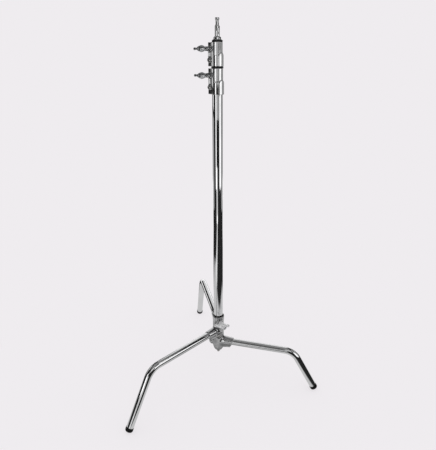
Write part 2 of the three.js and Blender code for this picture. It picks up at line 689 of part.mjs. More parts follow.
/** The plug in the front boss, with a hexagonal key socket in its face. */
function plunger() {
  const plug = turnedX([
    [0, BARREL_R - 1 + GAP], [PLUNGER_R, BARREL_R - 1 + GAP], [PLUNGER_R, PLUNGER_FACE - 1],
    [PLUNGER_R - 1, PLUNGER_FACE], [0, PLUNGER_FACE],
  ], SMALL);
  const key = hexagon(6, PLUNGER_FACE - 4, PLUNGER_FACE + 2).rotateY(Math.PI / 2);
  return cut(plug, key);
}

const STEM_R = 11.5;              // the post's thin foot, inside the spring
const SHOULDER_Z = 150.5;
const SPRING_SEAT_Z = 147;
const SPRING_BORE_R = 17.2;

/** Bottom casting: a shelf inside it takes the spring's push. */
function bottomCasting() {
  const leg = LEGS.bottom;
  const [bottomZ, topZ] = leg.band;
  const { tube, inner } = legBores(leg);
  return cut(
    join(castingBody(leg), counterLobe(leg)),
    rod(POST_R + GAP, SHOULDER_Z, topZ + 1, FINE),
    rod(STEM_R + GAP, SPRING_SEAT_Z - 1, SHOULDER_Z + 1, MEDIUM),
    rod(SPRING_BORE_R, bottomZ - 1, SPRING_SEAT_Z, FINE),
    tube,
    common(inner, block(POST_R, 60, -30, 30, SHOULDER_Z + 1, topZ)),
    screwHole(leg),
  );
}

/** One leg with its casting, standing at its azimuth. */
function legSet(name, casting, ...extras) {
  const leg = LEGS[name];
  const path = new LegPath(leg, LEG_START_X, TIP_LIFT);
  const group = groupOf(
    piece(`${name}_leg_casting`, casting, CAST),
    piece(`${name}_leg_tube`, legTube(path), CHROME),
    piece(`${name}_leg_foot`, legFoot(leg, path), RUBBER),
    piece(`${name}_leg_screw`, sleeveScrew(leg.height, underside(leg)), STEEL),
    ...extras,
  );
  group.rotateZ(radians(leg.azimuth));
  return group;
}

// ---------------------------------------------------------------- post, spring and cap

const STEM_END_Z = 119;
const CAP_TOP_Z = LEGS.bottom.band[0] - GAP;
const CAP_BOTTOM_Z = 111.5;
const CAP_SCREW_R = 4;
const CAP_WALL_R = 20;

/** The receiver: the spigot drops into it from above, and the castings turn on it. */
function basePost() {
  const boreR = SPIGOT_R + GAP;
  const post = turned([
    [0, STEM_END_Z], [STEM_R, STEM_END_Z], [STEM_R, SHOULDER_Z + GAP], [POST_R, SHOULDER_Z + GAP],
    [POST_R, SOCKET_FUNNEL_Z - GAP], [boreR, SOCKET_FUNNEL_Z - GAP], [boreR, SPIGOT_END_Z - 5],
    [0, SPIGOT_END_Z - 5],
  ]);
  const screwBore = rodX(STUD_R + GAP, 10, 40, SMALL)
    .rotateZ(radians(BASE_SCREW_AZIMUTH))
    .translate(0, 0, BASE_SCREW_Z);
  return cut(post, screwBore, rod(CAP_SCREW_R + GAP, STEM_END_Z - 1, STEM_END_Z + 12, SMALL));
}

/** A helix for the spring's wire. */
class Helix extends THREE.Curve {
  constructor(radius, turns, z0, z1) {
    super();
    Object.assign(this, { radius, turns, z0, z1 });
  }

  getPoint(t) {
    const angle = 2 * Math.PI * this.turns * t;
    return new THREE.Vector3(
      this.radius * Math.cos(angle),
      this.radius * Math.sin(angle),
      THREE.MathUtils.lerp(this.z0, this.z1, t),
    );
  }
}

function spring() {
  const wireR = 1.2;
  const turns = 3;
  const clear = wireR + GAP;
  const wire = new THREE.Shape();
  wire.absarc(0, 0, wireR, 0, 2 * Math.PI, false);
  const coil = new Helix((STEM_R + SPRING_BORE_R) / 2, turns, CAP_TOP_Z + clear, SPRING_SEAT_Z - clear);
  return new THREE.ExtrudeGeometry(wire, { steps: 12 * turns, curveSegments: 4, extrudePath: coil });
}

/** Domed cap under the post; the spring stands on it. */
function baseCap() {
  const holeR = CAP_SCREW_R + GAP;
  return turned([
    [holeR, CAP_BOTTOM_Z], [7.5, CAP_BOTTOM_Z], [11, CAP_BOTTOM_Z + 1.5], [15, CAP_BOTTOM_Z + 5],
    [CAP_WALL_R - 1.5, CAP_BOTTOM_Z + 11], [CAP_WALL_R, CAP_TOP_Z - 2], [CAP_WALL_R, CAP_TOP_Z],
    [STEM_R + GAP, CAP_TOP_Z],
    [STEM_R + GAP, STEM_END_Z - GAP], [holeR, STEM_END_Z - GAP], [holeR, CAP_BOTTOM_Z],
  ]);
}

const CAP_HEAD_FLATS = 10;
const CAP_HEAD_HEIGHT = 9;

function baseCapBolt() {
  const head = CAP_BOTTOM_Z - GAP;
  const shank = rod(CAP_SCREW_R, head - 1, STEM_END_Z + 11, SMALL);
  return join(shank, hexagon(CAP_HEAD_FLATS, head - CAP_HEAD_HEIGHT, head));
}

/** The locking screw that bears on the column's spigot, and its T-handle. */
function baseLock() {
  const shoeFace = SPIGOT_R + GAP;
  const shoeBack = POST_R - GAP;
  const knob = piece('base_handle_knob', handleKnob(BASE_HANDLE), ZINC);
  knob.rotateZ(radians(BASE_HANDLE_TURN));
  const lock = groupOf(
    knob,
    piece('base_handle_stud', stud(shoeBack + GAP, BASE_HANDLE.hubZ - 4), STEEL),
    piece('base_clamp_shoe', rod(STUD_R - 0.4, shoeFace + 0.1, shoeBack, SMALL), BRASS),
  );
  lock.position.z = BASE_SCREW_Z;
  lock.rotateZ(radians(BASE_SCREW_AZIMUTH - 90)).rotateX(-Math.PI / 2);
  return lock;
}

function base() {
  const plungerPiece = piece('leg_plunger', plunger(), STEEL);
  plungerPiece.position.z = PLUNGER_Z;
  plungerPiece.rotateZ(radians(PLUNGER_AZIMUTH - LEGS.middle.azimuth));
  return groupOf(
    legSet('top', topCasting()),
    legSet('middle', middleCasting(), plungerPiece),
    legSet('bottom', bottomCasting()),
    piece('base_post', basePost(), STEEL),
    piece('base_spring', spring(), STEEL),
    piece('base_cap', baseCap(), CAST),
    piece('base_cap_bolt', baseCapBolt(), STEEL),
    baseLock(),
  );
}

// ---------------------------------------------------------------- the whole stand

const stand = groupOf(columnAndRisers(), base());
const footprint = new THREE.Box3().setFromObject(stand, true).getCenter(new THREE.Vector3());
stand.position.set(-footprint.x, -footprint.y, 0);

export default stand;
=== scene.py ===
"""The finished c stand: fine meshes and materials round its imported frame, on a pale studio floor.

Shapes are worked out in millimetres round the column's axis, with the floor at Z = 0, or in a local
frame that a `place` matrix sets beside it; `finished` takes them into the shared frame, in metres.
Each fine piece stands for one CAD node.
"""

import json
import math

import bmesh
import bpy
import numpy as np
from mathutils import Matrix, Vector

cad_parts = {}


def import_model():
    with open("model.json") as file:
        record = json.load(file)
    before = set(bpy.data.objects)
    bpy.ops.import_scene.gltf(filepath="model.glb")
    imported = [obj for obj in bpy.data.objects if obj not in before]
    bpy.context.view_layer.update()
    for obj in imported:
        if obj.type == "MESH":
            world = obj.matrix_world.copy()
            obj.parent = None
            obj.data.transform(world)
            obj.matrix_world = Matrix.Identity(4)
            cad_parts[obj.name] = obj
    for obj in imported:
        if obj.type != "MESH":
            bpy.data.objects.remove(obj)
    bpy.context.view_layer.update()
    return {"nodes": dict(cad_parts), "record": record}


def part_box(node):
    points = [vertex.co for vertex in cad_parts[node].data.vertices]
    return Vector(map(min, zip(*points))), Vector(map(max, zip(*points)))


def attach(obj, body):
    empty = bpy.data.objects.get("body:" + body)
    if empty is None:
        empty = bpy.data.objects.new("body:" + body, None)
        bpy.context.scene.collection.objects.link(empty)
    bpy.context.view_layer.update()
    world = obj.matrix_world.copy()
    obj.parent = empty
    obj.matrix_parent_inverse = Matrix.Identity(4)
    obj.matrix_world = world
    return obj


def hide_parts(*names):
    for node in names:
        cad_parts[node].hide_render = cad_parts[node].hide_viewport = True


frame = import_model()

MM = 0.001
RECORD = frame["record"]
BODY_OF = {node: body for body, nodes in RECORD["behaviour"]["bodies"].items() for node in nodes}
SLOT_OF = {row["node"]: row["material_slot"] for row in RECORD["subparts"]}


def middle(node):
    low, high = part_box(node)
    return (low + high) / 2


def heights(node):
    """Lowest and highest point of a CAD node, in millimetres."""
    low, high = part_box(node)
    return low.z / MM, high.z / MM


def half_width(node):
    low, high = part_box(node)
    return (high.x - low.x) / 2 / MM


AXIS = Vector((middle("column_tube").x, middle("column_tube").y, 0))

# ---------------- driving dimensions

GAP = 0.3
CRISP = 0.1  # rounding of the tools that cut bores and slots
PAST = 9  # how far such a tool runs past what it cuts
TINY = 1e-6  # keeps a division away from zero
TUBE_WALL = 1.5
COLUMN_R = half_width("column_tube")
RISER_1_R = half_width("riser_1_tube")
RISER_2_R = half_width("riser_2_tube")
PIN_R = half_width("baby_pin")
SPIGOT_R = 14.3
POST_R = half_width("base_post")
STUD_R = 5
EAR_AZIMUTH = 137
BASE_SCREW_AZIMUTH = 285
BASE_HANDLE_TURN = -10  # degrees from level
PLUNGER_AZIMUTH = 277

LEG_R = 13
LEG_WALL = 2
LEG_BEND_R = 58
LEG_START_X = 27
TIP_LIFT = 10
FOOT_R = 14.0  # just inside the facets of the CAD's feet
FOOT_TOP = 20
FOOT_CORNER = 7
FOOT_WEAR = 0.8
BARREL_R = 22
BARREL_EDGE = 3
SLEEVE_END = 62
SLEEVE_SLANT = math.radians(14)

LEGS = {
    "top": {"azimuth": 101.9, "height": 243, "corner": 362, "reach": 466, "sleeve_r": 17.3},
    "middle": {"azimuth": 225.5, "height": 205, "corner": 338, "reach": 451.5, "sleeve_r": 17.3,
               "lobe": {"z": 200, "r": 11.5, "reach": 43}},
    "bottom": {"azimuth": 344.2, "height": 157, "corner": 302, "reach": 394.5, "sleeve_r": 19,
               "lobe": {"z": 151, "r": 15.5, "reach": 39}},
}

# ---------------- places


def turn_z(degrees):
    return Matrix.Rotation(math.radians(degrees), 4, "Z")


ALONG_Y = Matrix.Rotation(math.radians(-90), 4, "X")  # takes a frame's +Z to +Y
STAND = Matrix.Identity(4)


def moved(x, y, z):
    return Matrix.Translation((x, y, z))


def points_of(node, place):
    """The CAD node's corners in a local frame, in millimetres."""
    vertices = frame["nodes"][node].data.vertices
    corners = np.empty(len(vertices) * 3)
    vertices.foreach_get("co", corners)
    corners = (corners.reshape(-1, 3) - np.array(AXIS)) / MM
    back = np.array(place.inverted())
    return corners @ back[:3, :3].T + back[:3, 3]


# ---------------- meshes

SHARP = math.radians(40)  # an edge that turns by more is shaded as a sharp one
MERGE = 1e-4  # corners nearer than this are one


def added(name, data):
    """A new object in the scene."""
    made = bpy.data.objects.new(name, data)
    bpy.context.scene.collection.objects.link(made)
    return made


def finished(node, points, faces, place=STAND, normals=None):
    """Makes the fine piece that stands for a CAD node, from points in millimetres in a local frame."""
    matrix = np.array(place)
    world = (np.asarray(points, float) @ matrix[:3, :3].T + matrix[:3, 3]) * MM + np.array(AXIS)
    mesh = bpy.data.meshes.new(node + "_fine")
    mesh.from_pydata(world.tolist(), [], faces)
    if normals is None:
        shape = bmesh.new()
        shape.from_mesh(mesh)
        bmesh.ops.remove_doubles(shape, verts=shape.verts, dist=MERGE * MM)
        bmesh.ops.recalc_face_normals(shape, faces=shape.faces)
        shape.to_mesh(mesh)
        shape.free()
        mesh.shade_smooth()
        mesh.set_sharp_from_angle(angle=SHARP)
    else:
        mesh.shade_smooth()
        mesh.normals_split_custom_set_from_vertices((normals @ matrix[:3, :3].T).tolist())
    mesh.materials.append(LOOKS[SLOT_OF[node]])
    piece = added(node + "_fine", mesh)
    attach(piece, BODY_OF[node])
    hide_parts(node)
    return piece


def loft(rings, closed=False):
    """Joins equal rings of points, one after the other, into quads."""
    count = len(rings[0])
    points = np.concatenate(rings)
    faces = []
    for row in range(len(rings) if closed else len(rings) - 1):
        here, there = row * count, (row + 1) % len(rings) * count
        for k in range(count):
            after = (k + 1) % count
            faces.append((here + k, here + after, there + after, there + k))
    return points, faces


STRAIGHT = -0.985  # cosine between its edges at which a corner is left alone
MOST_TRIM = 0.45  # share of an edge that one rounding may take
CORNER_STEPS = 3


def soften(outline, radius, closed):
    """The outline with each corner rounded off."""
    outline = [np.array(point, float) for point in outline]
    rounded = []
    for index, corner in enumerate(outline):
        arrive, leave = outline[index - 1] - corner, outline[(index + 1) % len(outline)] - corner
        lengths = np.linalg.norm(arrive), np.linalg.norm(leave)
        line_end = not closed and index in (0, len(outline) - 1)
        if line_end or arrive @ leave / (lengths[0] * lengths[1]) < STRAIGHT:
            rounded.append(corner)
            continue
        trim = min(radius, MOST_TRIM * lengths[0], MOST_TRIM * lengths[1])
        start, end = corner + arrive / lengths[0] * trim, corner + leave / lengths[1] * trim
        for t in np.linspace(0, 1, CORNER_STEPS + 1):
            rounded.append((1 - t) ** 2 * start + 2 * t * (1 - t) * corner + t ** 2 * end)
    return rounded


def raised(profile, z):
    """The profile's (radius, height) pairs, with their heights counted from z."""
    return [(r, z + up) for r, up in profile]


ROUND = 96  # sides of a large turned piece
PIPE_ROUND = 64
SMALL_ROUND = 48
WIRE_ROUND = 16


def circle(count):
    turn = np.linspace(0, 2 * np.pi, count, endpoint=False)
    return np.cos(turn), np.sin(turn)


def lathe(node, profile, place=STAND, sides=ROUND, edge=0.4):
    """A turned piece about +Z. The profile is (radius, z) pairs, closed if it ends where it starts."""
    closed = profile[0] == profile[-1]
    outline = soften(profile[:-1] if closed else profile, edge, closed)
    cos, sin = circle(sides)
    rings = [np.stack((r * cos, r * sin, np.full(sides, z)), 1) for r, z in outline]
    return finished(node, *loft(rings, closed), place)


def ring_profile(outer, inner, low, high):
    return [(inner, low), (outer, low), (outer, high), (inner, high), (inner, low)]


def pipe(node, path, radius, bore, place):
    """A tube along a path of (point, direction) pairs in the XZ plane."""
    cos, sin = circle(PIPE_ROUND)

    def ring(point, heading, size):
        across = np.array((-heading[2], 0, heading[0]))
        return point + size * (np.outer(cos, across) + np.outer(sin, (0, 1, 0)))

    rings = [ring(point, heading, radius) for point, heading in path]
    rings += [ring(point, heading, bore) for point, heading in reversed(path)]
    return finished(node, *loft(rings, closed=True), place)


THREAD_PITCH = 1.5
THREAD_DEPTH = 0.55
THREAD_CHAMFER = 1.2
RINGS_PER_TURN = 8


def threaded(node, radius, low, high, place):
    """A stud with a cut thread, chamfered at both ends."""
    count = int((high - low) / THREAD_PITCH * RINGS_PER_TURN)
    cos, sin = circle(SMALL_ROUND)
    phase = np.arange(SMALL_ROUND) / SMALL_ROUND
    rings = [np.zeros((SMALL_ROUND, 3)) + (0, 0, low)]
    for z in np.linspace(low, high, count + 1):
        groove = THREAD_DEPTH * (0.5 - 0.5 * np.cos(2 * np.pi * (z / THREAD_PITCH - phase)))
        chamfer = max(0, THREAD_CHAMFER - min(z - low, high - z))
        r = radius - np.maximum(groove, chamfer)
        rings.append(np.stack((r * cos, r * sin, np.full(SMALL_ROUND, z)), 1))
    rings.append(np.zeros((SMALL_ROUND, 3)) + (0, 0, high))
    return finished(node, *loft(rings), place)


# ---------------- cast shapes, as distance fields
#
# A field gives the distance from each point to a surface, negative inside. Fields join with a fillet,
# as cast metal does, and `cast` turns the result into a mesh.


def off_axis(p):
    return np.hypot(p[:, 0], p[:, 1])


def between(values, low, high):
    """How far each value is outside the span from low to high, negative inside."""
    return np.abs(values - (low + high) / 2) - (high - low) / 2


def bounded(out, edge):
    """Where all of `out` is negative, with its edges rounded."""
    out = out + edge
    return np.minimum(out.max(1), 0) + np.linalg.norm(np.maximum(out, 0), axis=1) - edge


def drum(p, radius, low, high, edge):
    """An upright cylinder with rounded rims."""
    sides = off_axis(p) - radius
    return bounded(np.stack((sides, between(p[:, 2], low, high)), 1), edge)


def slab(p, low, high, edge):
    return bounded(between(p, np.array(low, float), np.array(high, float)), edge)


def ball(p, centre, radius):
    return np.linalg.norm(p - np.array(centre), axis=1) - radius


def egg(p, centre, radii):
    """An ellipsoid; exact only at its surface."""
    q = (p - np.array(centre)) / np.array(radii)
    size = np.linalg.norm(q, axis=1)
    slope = np.linalg.norm(q / np.array(radii), axis=1)
    return size * (size - 1) / np.maximum(slope, TINY)


def hexagon(p, across_flats, low, high, edge=0.3):
    """A hexagonal bar with flats facing +X and -X."""
    flats = [np.abs(p[:, 0] * math.cos(a) + p[:, 1] * math.sin(a)) for a in np.radians((0, 60, 120))]
    sides = np.max(flats, axis=0) - across_flats / 2
    return bounded(np.stack((sides, between(p[:, 2], low, high)), 1), edge)


def merge(a, b, fillet):
    """Both shapes, joined by a fillet."""
    near = np.maximum(fillet - np.abs(a - b), 0) / fillet
    return np.minimum(a, b) - near * near * fillet / 4


def carve(body, tool, edge=0.8):
    """The body without the tool's shape."""
    return -merge(-body, tool, edge)


def common(a, b, edge):
    """What the two shapes share."""
    return -merge(-a, -b, edge)


def along_x(p):
    """The points as an X-wise piece sees them: its length becomes Z."""
    return p[:, [1, 2, 0]]


def along_y(p):
    return p[:, [2, 0, 1]]


def facing(p, degrees):
    """The points as seen from a frame turned about +Z."""
    cos, sin = math.cos(math.radians(degrees)), math.sin(math.radians(degrees))
    return np.stack((cos * p[:, 0] + sin * p[:, 1], cos * p[:, 1] - sin * p[:, 0], p[:, 2]), 1)


def slopes(field, points, reach):
    """The field's gradient at each point."""
    steps = np.eye(3) * reach
    return np.stack([(field(points + s) - field(points - s)) / (2 * reach) for s in steps], 1)


def net(values):
    """Surface nets: one corner in each grid cell that the surface crosses, joined across grid edges."""
    inside = values < 0
    size = np.array(values.shape)
    cells = tuple(size - 1)
    offsets = [(x, y, z) for x in (0, 1) for y in (0, 1) for z in (0, 1)]

    def shifted(array, offset):
        return array[tuple(slice(o, o + c) for o, c in zip(offset, cells))]

    full = sum(shifted(inside, o).astype(np.int8) for o in offsets)
    crossed = (full > 0) & (full < 8)
    total = np.zeros((crossed.sum(), 3))
    hits = np.zeros(crossed.sum())
    for offset in offsets:
        for axis in range(3):
            if offset[axis]:
                continue
            far = tuple(o + (k == axis) for k, o in enumerate(offset))
            a, b = shifted(values, offset)[crossed], shifted(values, far)[crossed]
            cut = (a < 0) != (b < 0)
            where = np.tile(np.array(offset, float), (len(a), 1))
            where[:, axis] += np.where(cut, a / np.where(cut, a - b, 1), 0)
            total[cut] += where[cut]
            hits[cut] += 1
    corners = np.argwhere(crossed) + total / hits[:, None]
    number = np.full(cells, -1)
    number[crossed] = np.arange(len(corners))
    faces = []
    for axis in range(3):
        b, c = (axis + 1) % 3, (axis + 2) % 3
        low = [slice(1, -1)] * 3
        high = [slice(1, -1)] * 3
        low[axis], high[axis] = slice(0, -1), slice(1, None)
        enters = inside[tuple(high)] & ~inside[tuple(low)]
        leaves = inside[tuple(low)] & ~inside[tuple(high)]
        for crossing, order in ((enters, (0, 1, 2, 3)), (leaves, (3, 2, 1, 0))):
            at = np.argwhere(crossing)
            at[:, b] += 1
            at[:, c] += 1
            quad = []
            for db, dc in ((0, 0), (0, -1), (-1, -1), (-1, 0)):
                cell = at.copy()
                cell[:, b] += db
                cell[:, c] += dc
                quad.append(number[tuple(cell.T)])
            faces.append(np.stack([quad[k] for k in order], 1))
    return corners, np.concatenate(faces).tolist()


# All in cells of the grid, except the last two.
GRID_MARGIN = 3  # beyond the CAD node's box
SLOPE_REACH = 0.1  # over which a slope is measured to draw a corner onto the surface
NORMAL_REACH = 0.3  # and to shade it
MOST_PULL = 0.4  # that one step moves a corner
PULLS = 3  # steps
LEAST_SLOPE = 0.25  # squared


def cast(node, field, place, pitch):
    """The fine piece of a field, on a grid round the CAD node that it stands for."""
    corners = points_of(node, place)
    low = corners.min(0) - GRID_MARGIN * pitch
    count = np.ceil((corners.max(0) + GRID_MARGIN * pitch - low) / pitch).astype(int)
    axes = [low[k] + pitch * np.arange(count[k]) for k in range(3)]
    grid = np.stack(np.meshgrid(*axes, indexing="ij"), -1).reshape(-1, 3)
    points, faces = net(field(grid).reshape(count))
    points = low + points * pitch
    for _ in range(PULLS):
        slope = slopes(field, points, SLOPE_REACH * pitch)
        step = field(points) / np.maximum((slope ** 2).sum(1), LEAST_SLOPE)
        points -= slope * np.clip(step, -MOST_PULL * pitch, MOST_PULL * pitch)[:, None]
    normals = slopes(field, points, NORMAL_REACH * pitch)
    normals /= np.maximum(np.linalg.norm(normals, axis=1), TINY)[:, None]
    return finished(node, points, faces, place, normals)


# ---------------- materials


class Nodes:
    """Short names for a node tree's nodes and links."""

    def __init__(self, tree):
        self.tree = tree

    def feed(self, socket, value):
        if isinstance(value, bpy.types.NodeSocket):
            self.tree.links.new(value, socket)
        else:
            socket.default_value = value

    def add(self, kind, settings):
        made = self.tree.nodes.new(kind)
        for key, value in (settings or {}).items():
            setattr(made, key, value)
        return made

    def make(self, kind, output=0, settings=None, **inputs):
        """Adds a node, feeds its named inputs and returns one of its outputs."""
        made = self.add(kind, settings)
        for key, value in inputs.items():
            self.feed(made.inputs[key.replace("_", " ")], value)
        return made.outputs[output]

    def combine(self, kind, *values, output=0, settings=None):
        """Adds a node whose inputs are fed in order."""
        made = self.add(kind, settings)
        for socket, value in zip(made.inputs, values):
            self.feed(socket, value)
        return made.outputs[output]

    def length(self, vector):
        settings = {"operation": "LENGTH"}
        return self.combine("ShaderNodeVectorMath", vector, output="Value", settings=settings)

    def output(self, kind, surface):
        self.feed(self.tree.nodes.new(kind).inputs["Surface"], surface)

    def fade(self, value, start, end, first, last):
        """Runs smoothly from first to last as the value goes from start to end."""
        return self.make("ShaderNodeMapRange", settings={"interpolation_type": "SMOOTHSTEP"},
                         Value=value, From_Min=start, From_Max=end, To_Min=first, To_Max=last)


class Paint(Nodes):
    """One material's nodes round its Principled shader."""

    def __init__(self, name):
        self.material = bpy.data.materials.new(name)
        self.material.use_nodes = True
        super().__init__(self.material.node_tree)
        self.principled = self.tree.nodes["Principled BSDF"]
        self.place = self.make("ShaderNodeTexCoord", "Object")

    def noise(self, scale, detail=3.0, stretch=(1, 1, 1)):
        """Grey noise with features of about 1 / scale metres."""
        laid = self.make("ShaderNodeMapping", Vector=self.place, Scale=stretch)
        return self.make("ShaderNodeTexNoise", "Fac", Vector=laid, Scale=scale, Detail=detail)

    def level(self, value, low, high, start=0.35, end=0.65):
        """Stretches a value from start..end to low..high."""
        return self.make("ShaderNodeMapRange", Value=value, From_Min=start, From_Max=end, To_Min=low,
                         To_Max=high)

    def tint(self, factor, first, second):
        return self.make("ShaderNodeMix", "Result", {"data_type": "RGBA"},
                         Factor=factor, A=(*first, 1), B=(*second, 1))

    def mixed(self, factor, a, b):
        return self.make("ShaderNodeMix", "Result", {"data_type": "FLOAT"}, Factor=factor, A=a, B=b)

    def worn(self, start=0.52, end=0.58):
        """1 on outer edges, 0 on flats."""
        return self.level(self.make("ShaderNodeNewGeometry", "Pointiness"), 0, 1, start, end)

    def bump(self, height, distance):
        """Raises the surface by a height map; the distance is in metres."""
        normal = self.make("ShaderNodeBump", Height=height, Distance=distance)
        self.feed(self.principled.inputs["Normal"], normal)

    def finish(self, metallic, colour, roughness, **plain):
        self.feed(self.principled.inputs["Base Color"], colour)
        self.feed(self.principled.inputs["Roughness"], roughness)
        self.principled.inputs["Metallic"].default_value = metallic
        for key, value in plain.items():
            self.principled.inputs[key.replace("_", " ")].default_value = value
        return self.material


def chrome():
    """Bright plate on drawn tube: faint handling smudges and hairlines along the tube."""
    paint = Paint("bright_chrome")
    smudge = paint.noise(18, 5)
    hairline = paint.noise(900, 2, (1, 1, 0.02))
    rough = paint.mixed(paint.level(hairline, 0, 0.3, 0.55, 0.75), paint.level(smudge, 0.03, 0.07), 0.13)
    colour = paint.tint(paint.level(smudge, 0, 1), (0.82, 0.82, 0.825), (0.75, 0.75, 0.76))
    paint.bump(paint.noise(30, 2), 0.00004)
    return paint.finish(1, colour, rough)


def collar_plate():
    """Polished plate over a machined casting."""
    paint = Paint("plated_collar")
    ripple = paint.noise(70, 2)
    rough = paint.mixed(paint.worn(), paint.level(ripple, 0.05, 0.1), 0.04)
    colour = paint.tint(paint.level(ripple, 0, 1), (0.82, 0.82, 0.825), (0.74, 0.74, 0.745))
    paint.bump(ripple, 0.00006)
    return paint.finish(1, colour, rough)


def casting():
    """Duller plate over cast iron: a slow ripple shows through, with grime in random blotches."""
    paint = Paint("plated_casting")
    ripple = paint.noise(110, 2)
    grime = paint.level(paint.noise(45, 4), 0, 1, 0.4, 0.65)
    rough = paint.mixed(paint.worn(), paint.level(ripple, 0.1, 0.18), 0.07)
    colour = paint.tint(grime, (0.6, 0.6, 0.605), (0.36, 0.36, 0.365))
    paint.bump(ripple, 0.0002)
    return paint.finish(1, colour, rough)


def knob():
    """Plated die casting, worn bright on its edges."""
    paint = Paint("plated_knob")
    grain = paint.noise(700, 3)
    rough = paint.mixed(paint.worn(), paint.level(grain, 0.22, 0.32), 0.15)
    colour = paint.tint(paint.level(paint.noise(60, 3), 0, 1), (0.55, 0.555, 0.565), (0.45, 0.455, 0.465))
    paint.bump(grain, 0.000008)
    return paint.finish(1, colour, rough)


def hardware():
    """Zinc plate with a slight warm stain."""
    paint = Paint("zinc_plate")
    stain = paint.noise(220, 4)
    colour = paint.tint(paint.level(stain, 0, 1), (0.6, 0.605, 0.61), (0.52, 0.5, 0.47))
    paint.bump(paint.noise(1800, 2), 0.00001)
    return paint.finish(1, colour, paint.level(stain, 0.16, 0.3))


def turned_steel():
    """Fine lathe rings round the axis."""
    paint = Paint("turned_steel")
    rings = paint.noise(2400, 2, (0.01, 0.01, 1))
    colour = paint.tint(paint.level(paint.noise(90, 3), 0, 1), (0.58, 0.58, 0.585), (0.49, 0.485, 0.48))
    paint.bump(rings, 0.00003)
    return paint.finish(1, colour, paint.level(rings, 0.2, 0.32))


def zinc_casting():
    """Pale satin plate, which takes some of its light from all round."""
    paint = Paint("satin_zinc_casting")
    grain = paint.noise(500, 3)
    colour = paint.tint(paint.level(paint.noise(60, 3), 0, 1), (0.84, 0.84, 0.845), (0.76, 0.76, 0.765))
    paint.bump(grain, 0.00001)
    return paint.finish(0.5, colour, paint.level(grain, 0.3, 0.42))


def black_plastic():
    """Moulded nylon with a fine spark texture."""
    paint = Paint("black_plastic")
    grain = paint.noise(2600, 2)
    patch = paint.level(paint.noise(120, 3), 0, 1)
    colour = paint.tint(patch, (0.008, 0.008, 0.009), (0.014, 0.014, 0.015))
    paint.bump(grain, 0.00003)
    return paint.finish(0, colour, paint.level(grain, 0.38, 0.52), Specular_IOR_Level=0.3)


def rubber():
    """Matt rubber, dusty where it meets the floor."""
    paint = Paint("rubber")
    grain = paint.noise(1500, 4)
    height = paint.make("ShaderNodeSeparateXYZ", "Z", Vector=paint.place)
    dust = paint.combine("ShaderNodeMath", paint.level(height, 0.6, 0, 0, 0.012), paint.noise(260, 4),
                         settings={"operation": "MULTIPLY"})
    colour = paint.tint(dust, (0.007, 0.007, 0.007), (0.07, 0.068, 0.064))
    paint.bump(grain, 0.0001)
    return paint.finish(0, colour, paint.level(grain, 0.6, 0.85), Specular_IOR_Level=0.15)


def brass():
    paint = Paint("brass")
    stain = paint.noise(300, 3)
    colour = paint.tint(paint.level(stain, 0, 1), (0.72, 0.56, 0.27), (0.55, 0.42, 0.22))
    return paint.finish(1, colour, paint.level(stain, 0.22, 0.4))


LOOKS = {
    "chrome": chrome(),
    "collar": collar_plate(),
    "casting": casting(),
    "knob": knob(),
    "zinc_casting": zinc_casting(),
    "hardware": hardware(),
    "turned_steel": turned_steel(),
    "black_plastic": black_plastic(),
    "rubber": rubber(),
    "brass": brass(),
}

# ---------------- column, risers and pin

SPIGOT_CHAMFER = 1.5
TAPER = 15
GLIDE_WALL = 3
CAP_R = 12.3
CAP_HOLE_DEPTH = 8
# Profiles as (radius, height) pairs: the cap's flange above its seat, its top below its highest point,
# and the pin below its own.
CAP_FLANGE = ((14.4, 0), (15, 0.6), (14.4, 1.4), (CAP_R, 1.8))
CAP_TOP = ((CAP_R, -3.2), (CAP_R - 1, -2), (9.2, 0))
PIN_NECK_R = 5.4
PIN_HEAD_R = 6.7
PIN_TOP = ((PIN_R, -24.5), (PIN_R - 0.6, -23.6), (PIN_NECK_R, -21.5), (PIN_NECK_R, -8), (PIN_HEAD_R, -6),
           (PIN_HEAD_R, -1), (PIN_HEAD_R - 1, 0), (0, 0))
PIN_CHAMFER = 0.5


def tube(node, radius):
    low, high = heights(node)
    lathe(node, ring_profile(radius, radius - TUBE_WALL, low, high), edge=0.5)


def column_spigot():
    """Turned plug: pressed into the tube's foot, tapering down to the spigot that drops into the base."""
    low, high = heights("column_spigot")
    taper_top = heights("column_tube")[0] - GAP
    plug_r = COLUMN_R - TUBE_WALL - GAP
    lathe("column_spigot", [
        (0, low), (SPIGOT_R - SPIGOT_CHAMFER, low), (SPIGOT_R, low + SPIGOT_CHAMFER),
        (SPIGOT_R, taper_top - TAPER), (COLUMN_R, taper_top), (plug_r, taper_top), (plug_r, high),
        (0, high),
    ])


def glide(node, tube_node, riser_r, guide_r):
    """Plastic glide under a riser's end, with a hollow plug inside it."""
    low, high = heights(node)
    end = heights(tube_node)[0]
    plug_r = riser_r - TUBE_WALL - GAP
    bore_r = plug_r - GLIDE_WALL
    lathe(node, [
        (bore_r, low), (guide_r, low), (guide_r, end - GAP), (plug_r, end - GAP), (plug_r, high),
        (bore_r, high), (bore_r, low),
    ], edge=0.6)


# A bush's lower outside with its groove, as steps out from its radius and up from its foot.
BUSH_FOOT = ((-0.6, 0), (0, 0.8), (0, 2.2), (-0.4, 2.6), (0, 3))
BUSH_CHAMFER = 1.2
BUSH_LEAD_IN = 0.8


def bush_ring(node, inner, outer):
    """Plastic bush on a collar: chamfered outside, with one groove round it."""
    low, high = heights(node)
    foot = [(outer + out, low + up) for out, up in BUSH_FOOT]
    lathe(node, [
        (inner, low), *foot, (outer, high - BUSH_CHAMFER), (outer - BUSH_CHAMFER, high),
        (inner + BUSH_LEAD_IN, high), (inner, high - BUSH_LEAD_IN), (inner, low),
    ], edge=0.3)


